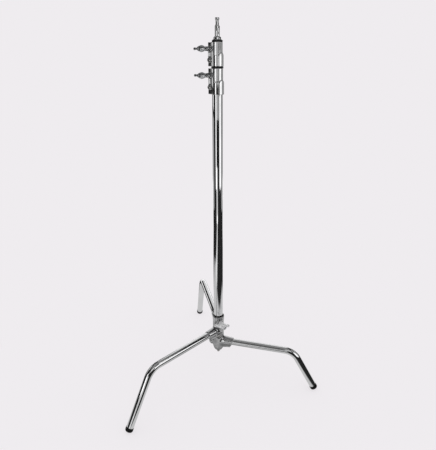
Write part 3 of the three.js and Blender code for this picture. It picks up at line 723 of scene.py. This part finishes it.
def top_cap():
    """Plug of the second riser: a thin flange on the ring, a plain band and a sloped top."""
    low, high = heights("riser_2_cap")
    seat = heights("riser_2_tube")[1] + GAP
    plug_r = RISER_2_R - TUBE_WALL - GAP
    hole_r = STUD_R + GAP
    hole_z = seat - CAP_HOLE_DEPTH
    lathe("riser_2_cap", [
        (0, low), (plug_r, low), (plug_r, seat), *raised(CAP_FLANGE, seat), *raised(CAP_TOP, high),
        (hole_r, high), (hole_r, hole_z), (0, hole_z),
    ], edge=0.5)


def baby_pin():
    """The stud that heads clamp to: a shank, a turned neck and a small head."""
    low, top = heights("baby_pin")
    base = heights("riser_2_cap")[1] + GAP
    lathe("baby_pin", [
        (0, low), (STUD_R, low), (STUD_R, base), (PIN_R - PIN_CHAMFER, base), (PIN_R, base + PIN_CHAMFER),
        *raised(PIN_TOP, top),
    ], edge=0.6)


# ---------------- clamp collars

# In a collar's own frame its foot is at Z = 0, its ears point along +X and its handle is on the +Y side.
EAR_ROOT_X = 8
EAR_HOLE_X = 28
EAR_END_X = 35.5
EAR_HALF = 6.8
SPLIT = 2.6
BOSS_R = 9
BOSS_HEIGHT = 2.4
BOLT_BOSS_R = 8
BOLT_BOSS = 1.4
BOLT_R = 4
BOLT_HEAD_R = 7.4
BOLT_HEAD = 4.8
BOLT_DOME_R = 10.4
BOLT_END_Z = -16.5
BOLT_KEY = 5
BOLT_KEY_FLOOR = 1.8
COLLAR_NUT = (13, 6.5)  # across its flats, and its thickness
CLAMP_NUT = (16, 8)
STUD_TAIL = 11.5  # of the screw behind the ears
WASHER_R = 8.6
WASHER = 1.2
HEX_SLOPE = 1.7  # of the cone that chamfers a hexagon's corners
PAD_WIDTH = 22
PAD_RISE = 4  # of its top above the step in the bore
PAD_BACK_X = -5
RELIEF_FALL = 8  # the turned-down band starts this far below the pad's top
RELIEF_HALF = math.radians(73)  # and reaches this far round each side from the front
POCKET_X = 27
POCKET_R = 8
POCKET_DEPTH = 2.6
POCKET_ENDS = (10, 11)  # above the bolt and below the screw
COLLARS = {
    "lower": {"step": 41, "outer_r": 20, "upper_r": 18.4, "pad_r": 22.2, "lower_bore": COLUMN_R,
              "upper_bore": RISER_1_R, "ring_r": 19.8, "screw_z": 59.5, "bolt_z": 22},
    "upper": {"step": 37.5, "outer_r": 18.6, "upper_r": 17.1, "pad_r": 20.4, "lower_bore": RISER_1_R,
              "upper_bore": RISER_2_R, "ring_r": 17.3, "screw_z": 53, "bolt_z": 19.5},
}


def collar_field(size, height):
    """Two joined rings of cast metal, split between a pair of ears, with an arched pad opposite."""
    step, screw_z, bolt_z = size["step"], size["screw_z"], size["bolt_z"]
    pad_top = step + PAD_RISE
    relief_z = pad_top - RELIEF_FALL
    bosses = ((screw_z, BOSS_R, BOSS_HEIGHT), (bolt_z, BOLT_BOSS_R, BOLT_BOSS))

    def field(p):
        radius = off_axis(p)
        body = drum(p, size["outer_r"], 0, height, 1)
        front = -p[:, 0] - radius * math.cos(RELIEF_HALF)
        relief = -np.maximum(np.maximum(size["upper_r"] - radius, relief_z - p[:, 2]), -front)
        body = common(body, relief, 0.8)
        ears = slab(p, (EAR_ROOT_X, -EAR_HALF, 0), (EAR_END_X, EAR_HALF, height), 1.5)
        for z, boss_r, proud in bosses:
            boss = drum(along_y(p - (EAR_HOLE_X, 0, z)), boss_r, 0, EAR_HALF + proud, 0.8)
            ears = merge(ears, boss, 1.2)
        body = merge(body, ears, 3)
        across = np.abs(p[:, 1])
        above = p[:, 2] - (pad_top - PAD_WIDTH / 2)
        arch = np.where(above > 0, np.hypot(across, above), across) - PAD_WIDTH / 2
        pad = common(common(drum(p, size["pad_r"], 0, pad_top, 1), arch, 1.5), p[:, 0] - PAD_BACK_X, 1)
        body = merge(body, pad, 1)
        body = carve(body, drum(p, size["lower_bore"] + GAP, -PAST, step, CRISP))
        body = carve(body, drum(p, size["upper_bore"] + GAP, step - 1, height + PAST, CRISP))
        split = slab(p, (0, -SPLIT / 2, -PAST), (EAR_END_X + PAST, SPLIT / 2, height + PAST), CRISP)
        body = carve(body, split, 0.6)
        for z, hole_r in ((screw_z, STUD_R), (bolt_z, BOLT_R)):
            hole = drum(along_y(p - (EAR_HOLE_X, 0, z)), hole_r + GAP, -EAR_END_X, EAR_END_X, CRISP)
            body = carve(body, hole, 0.6)
        for side in (1, -1):
            scoop = drum(p - (POCKET_X, side * (EAR_HALF + POCKET_R - POCKET_DEPTH), 0), POCKET_R,
                         bolt_z + POCKET_ENDS[0], screw_z - POCKET_ENDS[1], 0.8)
            body = carve(body, scoop)
        return body

    return field


def bolt_field(p):
    """Domed bolt with a hexagonal key socket. Its own +Z is the collar's +Y."""
    seat = EAR_HALF + BOLT_BOSS + GAP
    head = drum(p, BOLT_HEAD_R, seat, seat + BOLT_HEAD, 0.6)
    dome = common(head, ball(p, (0, 0, seat - BOLT_DOME_R / 2), BOLT_DOME_R), 1.2)
    shank = drum(p, BOLT_R, BOLT_END_Z, seat + 1, 0.8)
    key = hexagon(p, BOLT_KEY, seat + BOLT_KEY_FLOOR, seat + PAST, CRISP)
    return carve(merge(dome, shank, 0.5), key, 0.4)


def nut_field(across_flats, hole_r, low, high):
    """A hexagonal nut with its corners chamfered on both faces."""

    def field(p):
        radius = off_axis(p)
        cone = (radius - across_flats / 2 * 0.98 + between(p[:, 2], low, high) * HEX_SLOPE) / 2
        body = common(hexagon(p, across_flats, low, high), cone, 0.4)
        return carve(body, drum(p, hole_r, low - PAST, high + PAST, CRISP), 0.5)

    return field


# In a handle's own frame the screw runs along +Z, out of the clamp, and the cross bar lies along X.
COLLAR_HANDLE = {"hub_z": 44, "half_bar": 33.8, "ball_r": 4.3, "arm_r": 3.3, "hub_r": 10, "stem_r": 7.2,
                 "stem_z": 11.2}
BASE_HANDLE = {"hub_z": 52, "half_bar": 31, "ball_r": 6.2, "arm_r": 4.6, "hub_r": 10.5, "stem_r": 7.6,
               "stem_z": 32}
HUB_HALF = 17  # of the lozenge, along the bar
CROWN_SHARE = 0.72  # of the hub's radius
CROWN_HEIGHT = 10.5
STUD_STOP = 4  # from the screw's end to the bar's middle


def knob_field(size):
    """The die-cast knob: a lozenge-shaped cross bar with ball ends, on a round stem."""
    hub_z, hub_r, half = size["hub_z"], size["hub_r"], size["half_bar"]

    def field(p):
        bar = drum(along_x(p - (0, 0, hub_z)), size["arm_r"], -half + 2, half - 2, 1)
        body = merge(bar, egg(p, (0, 0, hub_z), (HUB_HALF, hub_r, hub_r)), 5)
        for side in (1, -1):
            body = merge(body, ball(p, (side * (half - size["ball_r"]), 0, hub_z), size["ball_r"]), 1.5)
        stem = drum(p, size["stem_r"], size["stem_z"], hub_z, 0.8)
        crown = drum(p, hub_r * CROWN_SHARE, hub_z, hub_z + CROWN_HEIGHT, 3)
        body = merge(merge(body, stem, 6), crown, 3)
        bore = drum(p, STUD_R + GAP, size["stem_z"] - PAST, hub_z - STUD_STOP + GAP, CRISP)
        return carve(body, bore, 0.6)

    return field


# Spacings of the grids that cast shapes are meshed on, by the size of their details.
FINE_GRID = 0.4
KNOB_GRID = 0.6
FOOT_GRID = 0.7
COLLAR_GRID = 0.8
LEG_GRID = 0.9


def collar(prefix):
    """One collar with its bush, bolt, nuts and T-handle."""
    size = COLLARS[prefix]
    low, high = heights(f"{prefix}_collar")
    place = moved(0, 0, low) @ turn_z(EAR_AZIMUTH)
    bolt = place @ moved(EAR_HOLE_X, 0, size["bolt_z"]) @ ALONG_Y
    screw = place @ moved(EAR_HOLE_X, 0, size["screw_z"]) @ ALONG_Y
    back = -EAR_HALF - GAP
    face = EAR_HALF + BOSS_HEIGHT + GAP
    cast(f"{prefix}_collar", collar_field(size, high - low), place, COLLAR_GRID)
    bush_ring(f"{prefix}_collar_ring", size["upper_bore"] + GAP, size["ring_r"])
    cast(f"{prefix}_collar_bolt", bolt_field, bolt, FINE_GRID)
    nuts = (("collar", bolt, BOLT_R, COLLAR_NUT), ("clamp", screw, STUD_R, CLAMP_NUT))
    for kind, at, hole_r, (flats, thick) in nuts:
        cast(f"{prefix}_{kind}_nut", nut_field(flats, hole_r + GAP, back - thick, back), at, FINE_GRID)
    threaded(f"{prefix}_handle_stud", STUD_R, back - STUD_TAIL, COLLAR_HANDLE["hub_z"] - STUD_STOP, screw)
    cast(f"{prefix}_handle_knob", knob_field(COLLAR_HANDLE), screw, KNOB_GRID)
    lathe(f"{prefix}_handle_washer", ring_profile(WASHER_R, STUD_R + GAP, face, face + WASHER), screw,
          SMALL_ROUND, 0.25)


# ---------------- legs and their castings

SCREW_X = 44
SCREW_R = 2.5
SCREW_HOLE = (-40, -5)  # from below the web into the tube, from the leg's centre line
# The head's profile with its round socket, as radius and height above its lowest point.
SCREW_HEAD = ((0, 1.6), (1.7, 1.6), (1.7, 0), (2.66, 0.2), (3.8, 1.6), (3.8, 2.6), (SCREW_R, 2.6))
STRAIGHT_STEPS = 6  # rings of points along each straight of a leg
BEND_STEPS = 20


def leg_path(leg):
    """(point, direction) along the leg's centre line: level, round one bend, then down to the floor."""
    lean = math.atan2(leg["reach"] - leg["corner"], leg["height"])
    turn = math.pi / 2 - lean
    bend_x = leg["corner"] - LEG_BEND_R * math.tan(turn / 2)
    path = [(np.array((x, 0, leg["height"]), float), np.array((1.0, 0, 0)))
            for x in np.linspace(LEG_START_X, bend_x, STRAIGHT_STEPS, endpoint=False)]
    for angle in np.linspace(0, turn, BEND_STEPS):
        point = np.array((bend_x + LEG_BEND_R * math.sin(angle), 0,
                          leg["height"] - LEG_BEND_R * (1 - math.cos(angle))))
        path.append((point, np.array((math.cos(angle), 0, -math.sin(angle)))))
    tip = np.array((leg["reach"] - TIP_LIFT * math.sin(lean), 0, TIP_LIFT * math.cos(lean)))
    start, heading = path[-1]
    path += [(start + (tip - start) * t, heading) for t in np.linspace(0, 1, STRAIGHT_STEPS)[1:]]
    return path, lean


def foot_field(leg, lean):
    """Rubber cap on the tube's end: rounded at its rim, with a small flat where it stands."""
    sin, cos = math.sin(lean), math.cos(lean)
    touching = (FOOT_CORNER + (FOOT_R - FOOT_CORNER) * sin) / cos - FOOT_CORNER
    end = touching - FOOT_WEAR

    def field(p):
        q = p - (leg["reach"], 0, 0)
        along = -sin * q[:, 0] + cos * q[:, 2]
        across = cos * q[:, 0] + sin * q[:, 2]
        own = np.stack((across, q[:, 1], along), 1)
        radius = np.hypot(across, q[:, 1]) - (FOOT_R - FOOT_CORNER)
        below = end + FOOT_CORNER - along
        round_end = np.hypot(np.maximum(radius, 0), np.maximum(below, 0)) - FOOT_CORNER
        cap = np.maximum(np.where(below > 0, np.where(radius > 0, round_end, end - along),
                                  radius - FOOT_CORNER), along - FOOT_TOP)
        cap = carve(cap, drum(own, LEG_R + GAP, TIP_LIFT - GAP, FOOT_TOP + PAST, CRISP), 0.6)
        return common(cap, -p[:, 2], 0.3)

    return field


# A name in X is a distance along the leg from the post's axis.
SLEEVE_START_X = 10
SLEEVE_X = (28, SLEEVE_END - 2, SLEEVE_END)
SLEEVE_TIP_R = (LEG_R + 2.5, LEG_R + 1.9)  # its radii at the last two
SLANT_START_X = SLEEVE_END - 3  # of the slanted end, at the leg's height
WEB_START_X = 6
WEB_RISE_X = (24, 40)  # its lower edge rises between these
WEB_END_X = 53
WEB_HALF = 12
WEB_DEPTH = 23  # below the leg's centre line


def casting_field(leg, low, high, extras, cuts):
    """A leg casting in its leg's frame: hub, sleeve, the web under it, and what `extras` add."""
    height = leg["height"]
    web_low = max(low + 3, height - WEB_DEPTH)
    lobe = leg.get("lobe")

    def field(p):
        q = p - (0, 0, height)
        body = drum(p, BARREL_R, low, high, BARREL_EDGE)
        sleeve_r = np.interp(p[:, 0], SLEEVE_X, (leg["sleeve_r"], *SLEEVE_TIP_R))
        sleeve = np.hypot(p[:, 1], q[:, 2]) - sleeve_r
        slant = (q[:, 0] - SLANT_START_X) * math.cos(SLEEVE_SLANT) - q[:, 2] * math.sin(SLEEVE_SLANT)
        sleeve = common(common(sleeve, q[:, 0] - SLEEVE_END, 1), slant, 1.2)
        sleeve = common(sleeve, SLEEVE_START_X - p[:, 0], 1)
        under = np.interp(p[:, 0], WEB_RISE_X, (low, web_low)) - p[:, 2]
        ends = common(p[:, 0] - WEB_END_X, p[:, 2] - height, 1)
        web = common(common(under, np.abs(p[:, 1]) - WEB_HALF, 5), ends, 7)
        web = common(web, WEB_START_X - p[:, 0], 1)
        body = merge(merge(body, sleeve, 4), web, 4)
        if lobe:
            nose = lobe["reach"] - lobe["r"]
            axis = -np.clip(-p[:, 0], 0, nose)
            near = np.stack((p[:, 0] - axis, p[:, 1], p[:, 2] - lobe["z"]), 1)
            body = merge(body, np.linalg.norm(near, axis=1) - lobe["r"], 4)
        for extra in extras:
            body = merge(body, extra(p), 3)
        body = common(body, low - p[:, 2], 1)
        body = carve(body, drum(along_x(q), LEG_R + GAP, LEG_START_X - GAP, SLEEVE_END + PAST, CRISP))
        body = carve(body, drum(q - (SCREW_X, 0, 0), SCREW_R + GAP, *SCREW_HOLE, CRISP), 0.5)
        for tool in cuts:
            body = carve(body, tool(p))
        return body

    return field


CORE_R = LEG_R - 3


def post_bore(low, high):
    return lambda p: drum(p, POST_R + GAP, low, high, CRISP)


def inner_bore(leg):
    """The core hole between the tube's socket and the post."""
    return lambda p: drum(along_x(p - (0, 0, leg["height"])), CORE_R, POST_R, LEG_START_X + 1, CRISP)


LOCK_BOSS_X = (12, 24, 30)  # out from the column's axis
LOCK_BOSS_R = (11, 10.5, 9.5)  # the boss's radius there
LOCK_BOSS_SPAN = (11, 31)
LOCK_BORE_SPAN = (10, 40)
SOCKET_LIP = 1.6
SOCKET_RIM_EDGE = 1.5


def top_casting():
    """Holds the column's socket, the fixed leg and the boss for the locking screw."""
    leg = LEGS["top"]
    low, high = heights("top_leg_casting")
    turn = BASE_SCREW_AZIMUTH - leg["azimuth"]
    screw_z = middle("base_handle_stud").z / MM
    funnel_z = heights("base_post")[1] + GAP

    def boss(p):
        own = along_x(facing(p, turn) - (0, 0, screw_z))
        radius = np.interp(own[:, 2], LOCK_BOSS_X, LOCK_BOSS_R)
        return common(off_axis(own) - radius, between(own[:, 2], *LOCK_BOSS_SPAN), 1.5)

    def funnel(p):
        mouth = np.interp(p[:, 2], (funnel_z, high), (POST_R + GAP, BARREL_R - SOCKET_LIP))
        return common(off_axis(p) - mouth, funnel_z - p[:, 2], CRISP)

    def screw_bore(p):
        return drum(along_x(facing(p, turn) - (0, 0, screw_z)), STUD_R + GAP, *LOCK_BORE_SPAN, CRISP)

    def rim(p):
        return drum(p, BARREL_R, screw_z, high, SOCKET_RIM_EDGE)

    cuts = [post_bore(low - PAST, high + PAST), inner_bore(leg), funnel, screw_bore]
    shape = casting_field(leg, low, high, [rim, boss], cuts)
    cast("top_leg_casting", shape, turn_z(leg["azimuth"]), LEG_GRID)


PLUNGER_BOSS_R = 12.5
PLUNGER_BOSS_X = 12  # where its boss starts, out from the post's axis
PLUNGER_R = 6.5
PLUNGER_KEY = 6
PLUNGER_KEY_DEPTH = 4
PLUNGER_BACK = BARREL_R - 1
PLUNGER_FACE = 29
PLUNGER_RECESS_R = 10
PLUNGER_RECESS = 3.5
PLUNGER_CLEAR_R = BARREL_R + 12  # its boss is cut off level with the hub's top inside this


def middle_casting():
    """Its front boss holds the plunger."""
    leg = LEGS["middle"]
    low, high = heights("middle_leg_casting")
    turn = PLUNGER_AZIMUTH - leg["azimuth"]
    plunger_z = middle("leg_plunger").z / MM

    def own(p):
        return along_x(facing(p, turn) - (0, 0, plunger_z))

    outside = PLUNGER_FACE + PAST
    cuts = [
        post_bore(low - PAST, high + PAST), inner_bore(leg),
        lambda p: drum(own(p), PLUNGER_R + GAP, PLUNGER_BACK, outside, CRISP),
        lambda p: drum(own(p), PLUNGER_RECESS_R, PLUNGER_FACE - PLUNGER_RECESS, outside, CRISP),
        lambda p: drum(p, PLUNGER_CLEAR_R, high, high + 2 * PLUNGER_BOSS_R, CRISP),
    ]
    boss = [lambda p: drum(own(p), PLUNGER_BOSS_R, PLUNGER_BOSS_X, PLUNGER_FACE, 1.5)]
    shape = casting_field(leg, low, high, boss, cuts)
    cast("middle_leg_casting", shape, turn_z(leg["azimuth"]), LEG_GRID)

    def plug(p):
        """A round plug with a hexagonal key socket in its face."""
        body = drum(p, PLUNGER_R, PLUNGER_BACK + GAP, PLUNGER_FACE, 0.8)
        return carve(body, hexagon(p, PLUNGER_KEY, PLUNGER_FACE - PLUNGER_KEY_DEPTH, outside, CRISP), 0.4)

    level = Matrix.Rotation(math.radians(90), 4, "Y")
    cast("leg_plunger", plug, turn_z(PLUNGER_AZIMUTH) @ moved(0, 0, plunger_z) @ level, FINE_GRID)


STEM_R = 11.5
SPRING_BORE_R = 17.2
SHOULDER_Z = 150.5
SPRING_SEAT_Z = 147


def bottom_casting():
    """A shelf inside it takes the spring's push."""
    leg = LEGS["bottom"]
    low, high = heights("bottom_leg_casting")
    core = inner_bore(leg)
    cuts = [
        post_bore(SHOULDER_Z, high + PAST),
        lambda p: drum(p, STEM_R + GAP, SPRING_SEAT_Z - 1, SHOULDER_Z + 1, CRISP),
        lambda p: drum(p, SPRING_BORE_R, low - PAST, SPRING_SEAT_Z, CRISP),
        lambda p: common(core(p), SHOULDER_Z + 1 - p[:, 2], CRISP),
    ]
    cast("bottom_leg_casting", casting_field(leg, low, high, [], cuts), turn_z(leg["azimuth"]), LEG_GRID)


def leg(name):
    """A leg's tube, foot and retaining screw; its casting is made beside it."""
    size = LEGS[name]
    place = turn_z(size["azimuth"])
    path, lean = leg_path(size)
    pipe(f"{name}_leg_tube", path, LEG_R, LEG_R - LEG_WALL, place)
    cast(f"{name}_leg_foot", foot_field(size, lean), place, FOOT_GRID)
    low, high = heights(f"{name}_leg_screw")
    profile = [*raised(SCREW_HEAD, low), (SCREW_R, high), (0, high)]
    lathe(f"{name}_leg_screw", profile, place @ moved(SCREW_X, 0, 0), SMALL_ROUND, 0.2)


# ---------------- post, spring, cap and lock

POST_FLOOR = 5  # under the spigot's end
WIRE_R = 1.2
COIL_TURNS = 3
STEPS_PER_TURN = 36
# The cap's profile, as radius and height above its lowest point, then below its highest.
CAP_DOME = ((7.5, 0), (11, 1.5), (15, 5), (18.5, 11))
CAP_RIM = ((19.5, -5.5), (19.2, -5), (19.6, -4.5), (20, -2), (20, 0))
CAP_BOLT_FLATS = 10
CAP_BOLT_HEAD = 9
SHOE_R = STUD_R - 0.4
SHOE_GAP = 0.1


def base_post():
    """The receiver: the spigot drops into it from above, and the castings turn on it."""
    low, high = heights("base_post")
    bore_r = SPIGOT_R + GAP
    floor = heights("column_spigot")[0] - POST_FLOOR
    lathe("base_post", [
        (0, low), (STEM_R, low), (STEM_R, SHOULDER_Z + GAP), (POST_R, SHOULDER_Z + GAP), (POST_R, high),
        (bore_r, high), (bore_r, floor), (0, floor),
    ])


def spring():
    """Open coil spring inside the bottom casting."""
    low, high = heights("base_spring")
    coil_r = (STEM_R + SPRING_BORE_R) / 2
    cos, sin = circle(WIRE_ROUND)
    rings = []
    for t in np.linspace(0, 1, COIL_TURNS * STEPS_PER_TURN + 1):
        angle = 2 * np.pi * COIL_TURNS * t
        outward = np.array((math.cos(angle), math.sin(angle), 0))
        centre = coil_r * outward + (0, 0, low + WIRE_R + t * (high - low - 2 * WIRE_R))
        rings.append(centre + WIRE_R * (np.outer(cos, outward) + np.outer(sin, (0, 0, 1))))
    ends = [np.repeat(ring.mean(0)[None], len(ring), 0) for ring in (rings[0], rings[-1])]
    finished("base_spring", *loft([ends[0], *rings, ends[1]]))


def base_cap():
    """Domed cap under the post, with one turned groove."""
    low, high = heights("base_cap")
    hole_r = BOLT_R + GAP
    seat = heights("base_post")[0] - GAP
    lathe("base_cap", [
        (hole_r, low), *raised(CAP_DOME, low), *raised(CAP_RIM, high), (STEM_R + GAP, high),
        (STEM_R + GAP, seat), (hole_r, seat), (hole_r, low),
    ])


def base_cap_bolt():
    """Hexagon-headed bolt that holds the cap, chamfered at its foot."""
    low, high = heights("base_cap_bolt")
    seat = low + CAP_BOLT_HEAD

    def field(p):
        radius = off_axis(p)
        cone = (radius - CAP_BOLT_FLATS / 2 + (low - p[:, 2]) * HEX_SLOPE) / 2
        head = common(hexagon(p, CAP_BOLT_FLATS, low, seat), cone, 0.4)
        return merge(head, drum(p, BOLT_R, seat - 1, high, 0.8), 0.4)

    cast("base_cap_bolt", field, STAND, FINE_GRID)


def base_lock():
    """The locking screw that bears on the column's spigot, its brass shoe and its T-handle."""
    screw_z = middle("base_handle_stud").z / MM
    place = moved(0, 0, screw_z) @ turn_z(BASE_SCREW_AZIMUTH - 90) @ ALONG_Y
    shoe_face = SPIGOT_R + GAP + SHOE_GAP
    shoe_back = POST_R - GAP
    cast("base_handle_knob", knob_field(BASE_HANDLE), place @ turn_z(BASE_HANDLE_TURN), KNOB_GRID)
    threaded("base_handle_stud", STUD_R, shoe_back + GAP, BASE_HANDLE["hub_z"] - STUD_STOP, place)
    shoe = [(0, shoe_face), (SHOE_R, shoe_face), (SHOE_R, shoe_back), (0, shoe_back)]
    lathe("base_clamp_shoe", shoe, place, SMALL_ROUND, 0.3)


# ---------------- the stand

tube("column_tube", COLUMN_R)
tube("riser_1_tube", RISER_1_R)
tube("riser_2_tube", RISER_2_R)
column_spigot()
glide("riser_1_glide", "riser_1_tube", RISER_1_R, COLUMN_R - TUBE_WALL - GAP)
glide("riser_2_glide", "riser_2_tube", RISER_2_R, RISER_1_R - TUBE_WALL - GAP)
top_cap()
baby_pin()
for prefix in COLLARS:
    collar(prefix)
for name in LEGS:
    leg(name)
top_casting()
middle_casting()
bottom_casting()
base_post()
spring()
base_cap()
base_cap_bolt()
base_lock()

# ---------------- studio

BACKDROP = (0.863, 0.839, 0.863)  # the pale ground, as linear light
SKY = 0.9  # even soft light on matt surfaces
ROOM = 0.02  # what the metal reflects between the panels

# The pale panels that the metal reflects. Each hangs upright and faces the column: its middle in
# metres from the column's foot, its width, height and brightness.
PANELS = {
    "front_window": ((0.35, -1.6, 2.0), 1.5, 1.0, 0.85),
    "front_screen": ((0, -1.6, 1.28), 1.65, 0.44, 0.42),
    "left_softbox": ((-1.15, -1.6, 0.85), 0.6, 1.1, 1.5),
    "front_card": ((-0.5, -1.6, 0.3), 0.9, 0.6, 0.7),
    "right_softbox": ((1.4, -0.85, 0.82), 1.2, 0.88, 1.3),
    "right_frame": ((1.4, -0.85, 1.3), 1.2, 0.08, 0.3),
    "right_window": ((1.4, -0.85, 1.42), 1.2, 0.15, 0.9),
    "right_strip": ((1.4, -0.35, 1.9), 0.3, 0.8, 1.3),
    "right_wall": ((1.4, 0.5, 0.8), 1.3, 1.2, 0.35),
    "left_card": ((-1.4, 0.6, 0.6), 1.2, 0.8, 0.4),
    "left_window": ((-1.4, 0.38, 1.28), 0.8, 0.44, 0.75),
    "back_wall": ((0.1, 1.4, 1.3), 1.3, 2.0, 0.75),
    "back_sweep": ((-0.1, 1.35, 0.2), 2.2, 0.5, 0.95),
}
# Two more lie flat: a runner on the floor, left of the camera's line, and a ceiling.
RUNNER = ((-0.5, -1.15, 0.01), 0.4, 1.4, 0.95)
CEILING = ((0, 0, 2.6), 2.4, 2.4, 0.25)
UPRIGHT = Matrix.Rotation(math.pi / 2, 4, "X")
FACE_UP = Matrix.Rotation(math.pi, 4, "X")
FACE_DOWN = Matrix.Identity(4)


def grey(level):
    return (level, level, level, 1)


def world():
    """Plain backdrop to the camera, even light on matt surfaces and a dark room to the metal."""
    made = bpy.data.worlds.new("studio")
    bpy.context.scene.world = made
    made.use_nodes = True
    made.node_tree.nodes.clear()
    nodes = Nodes(made.node_tree)
    room, sky, backdrop = [nodes.combine("ShaderNodeBackground", colour)
                           for colour in (grey(ROOM), grey(SKY), (*BACKDROP, 1))]
    by_matt = nodes.make("ShaderNodeLightPath", "Is Diffuse Ray")
    by_camera = nodes.make("ShaderNodeLightPath", "Is Camera Ray")
    soft = nodes.combine("ShaderNodeMixShader", by_matt, room, sky)
    nodes.output("ShaderNodeOutputWorld", nodes.combine("ShaderNodeMixShader", by_camera, soft, backdrop))


def panel(name, turn, spot, width, height, brightness):
    """One evenly lit panel, which shows only in reflections. Its face is its own -Z."""
    data = bpy.data.lights.new(name, "AREA")
    data.shape = "RECTANGLE"
    data.size = width
    data.size_y = height
    data.energy = math.pi * width * height * brightness
    made = added(name, data)
    made.matrix_world = Matrix.Translation(AXIS + Vector(spot)) @ turn
    made.visible_camera = False
    made.visible_diffuse = False


def panels():
    for name, ((x, y, z), *rest) in PANELS.items():
        towards_column = Matrix.Rotation(math.atan2(x, -y), 4, "Z")
        panel(name, towards_column @ UPRIGHT, (x, y, z), *rest)
    panel("floor_runner", FACE_UP, *RUNNER)
    panel("ceiling", FACE_DOWN, *CEILING)


FLOOR_SIZE = 2.4
FLOOR_ALBEDO = 0.8
SHADOW_SHARE = 0.25
SHADOW_REACH = (0.5, 1.0)  # metres from the column over which shadows fade out
# The pale sheet under the stand, which only the metal sees: a glowing oval with a painted shadow round the
# hub, dimmer near the column, that fades out at its edge.
SHEET_MIDDLE = (-0.2, 0.08, 0)
SHEET_HALF_SIZE = (0.8, 0.52, 1)
SHEET_TURN = (0, 0, math.radians(15))
SHEET_EDGE = (0.9, 1.1)  # as shares of its half size
SHEET = (0.3, 0.64)  # its brightness at the hub, dimmed there as a painted shadow, and further out
SHEET_PAINTED_SHADOW_SPAN = (0.02, 0.32)  # metres from the column over which the painted shadow lifts from the first brightness to the second


def floor():
    """Pale floor that takes the stand's soft shadow near it and melts into the backdrop further out."""
    mesh = bpy.data.meshes.new("floor")
    corners = [(x * FLOOR_SIZE / 2, y * FLOOR_SIZE / 2, 0) for x, y in ((-1, -1), (1, -1), (1, 1), (-1, 1))]
    mesh.from_pydata(corners, [], [(0, 1, 2, 3)])
    material = bpy.data.materials.new("floor")
    material.use_nodes = True
    material.node_tree.nodes.clear()
    nodes = Nodes(material.node_tree)
    place = nodes.make("ShaderNodeTexCoord", "Object")
    out = nodes.length(place)
    glow = nodes.combine("ShaderNodeEmission", (*BACKDROP, 1))
    cloth = nodes.combine("ShaderNodeBsdfDiffuse", grey(FLOOR_ALBEDO))
    lift = nodes.combine("ShaderNodeEmission", (*[c - FLOOR_ALBEDO * SKY for c in BACKDROP], 1))
    shaded = nodes.combine("ShaderNodeAddShader", cloth, lift)
    share = nodes.fade(out, *SHADOW_REACH, SHADOW_SHARE, 0)
    seen = nodes.combine("ShaderNodeMixShader", share, glow, shaded)
    oval = nodes.make("ShaderNodeMapping", settings={"vector_type": "TEXTURE"}, Vector=place,
                      Location=SHEET_MIDDLE, Rotation=SHEET_TURN, Scale=SHEET_HALF_SIZE)
    off = nodes.length(oval)
    # Painted shadow: the sheet's glow is dimmed near the column, as if the stand shaded it.
    sheet = nodes.combine("ShaderNodeEmission", grey(1), nodes.fade(out, *SHEET_PAINTED_SHADOW_SPAN, *SHEET))
    dark = nodes.combine("ShaderNodeEmission", grey(ROOM))
    mirrored = nodes.combine("ShaderNodeMixShader", nodes.fade(off, *SHEET_EDGE, 0, 1), sheet, dark)
    by_metal = nodes.make("ShaderNodeLightPath", "Is Glossy Ray")
    nodes.output("ShaderNodeOutputMaterial",
                 nodes.combine("ShaderNodeMixShader", by_metal, seen, mirrored))
    mesh.materials.append(material)
    piece = added("floor", mesh)
    piece.location = AXIS


CAMERA_BACK = 1.5  # metres in front of the column
CAMERA_HEIGHT = 1.2135
CAMERA_PITCH = 20.54
CAMERA_ROLL = -0.23
CAMERA_LENS = 35.05
SENSOR_WIDTH = 36
CLIP_START, CLIP_END = 0.05, 50


def camera():
    data = bpy.data.cameras.new("camera")
    data.lens = CAMERA_LENS
    data.sensor_width = SENSOR_WIDTH
    data.clip_start = CLIP_START
    data.clip_end = CLIP_END
    made = added("camera", data)
    pitch = Matrix.Rotation(math.radians(90 - CAMERA_PITCH), 4, "X")
    stance = moved(AXIS.x, AXIS.y - CAMERA_BACK, CAMERA_HEIGHT)
    made.matrix_world = stance @ pitch @ turn_z(CAMERA_ROLL)
    bpy.context.scene.camera = made


world()
panels()
floor()
camera()
bpy.context.scene.view_settings.view_transform = "Standard"
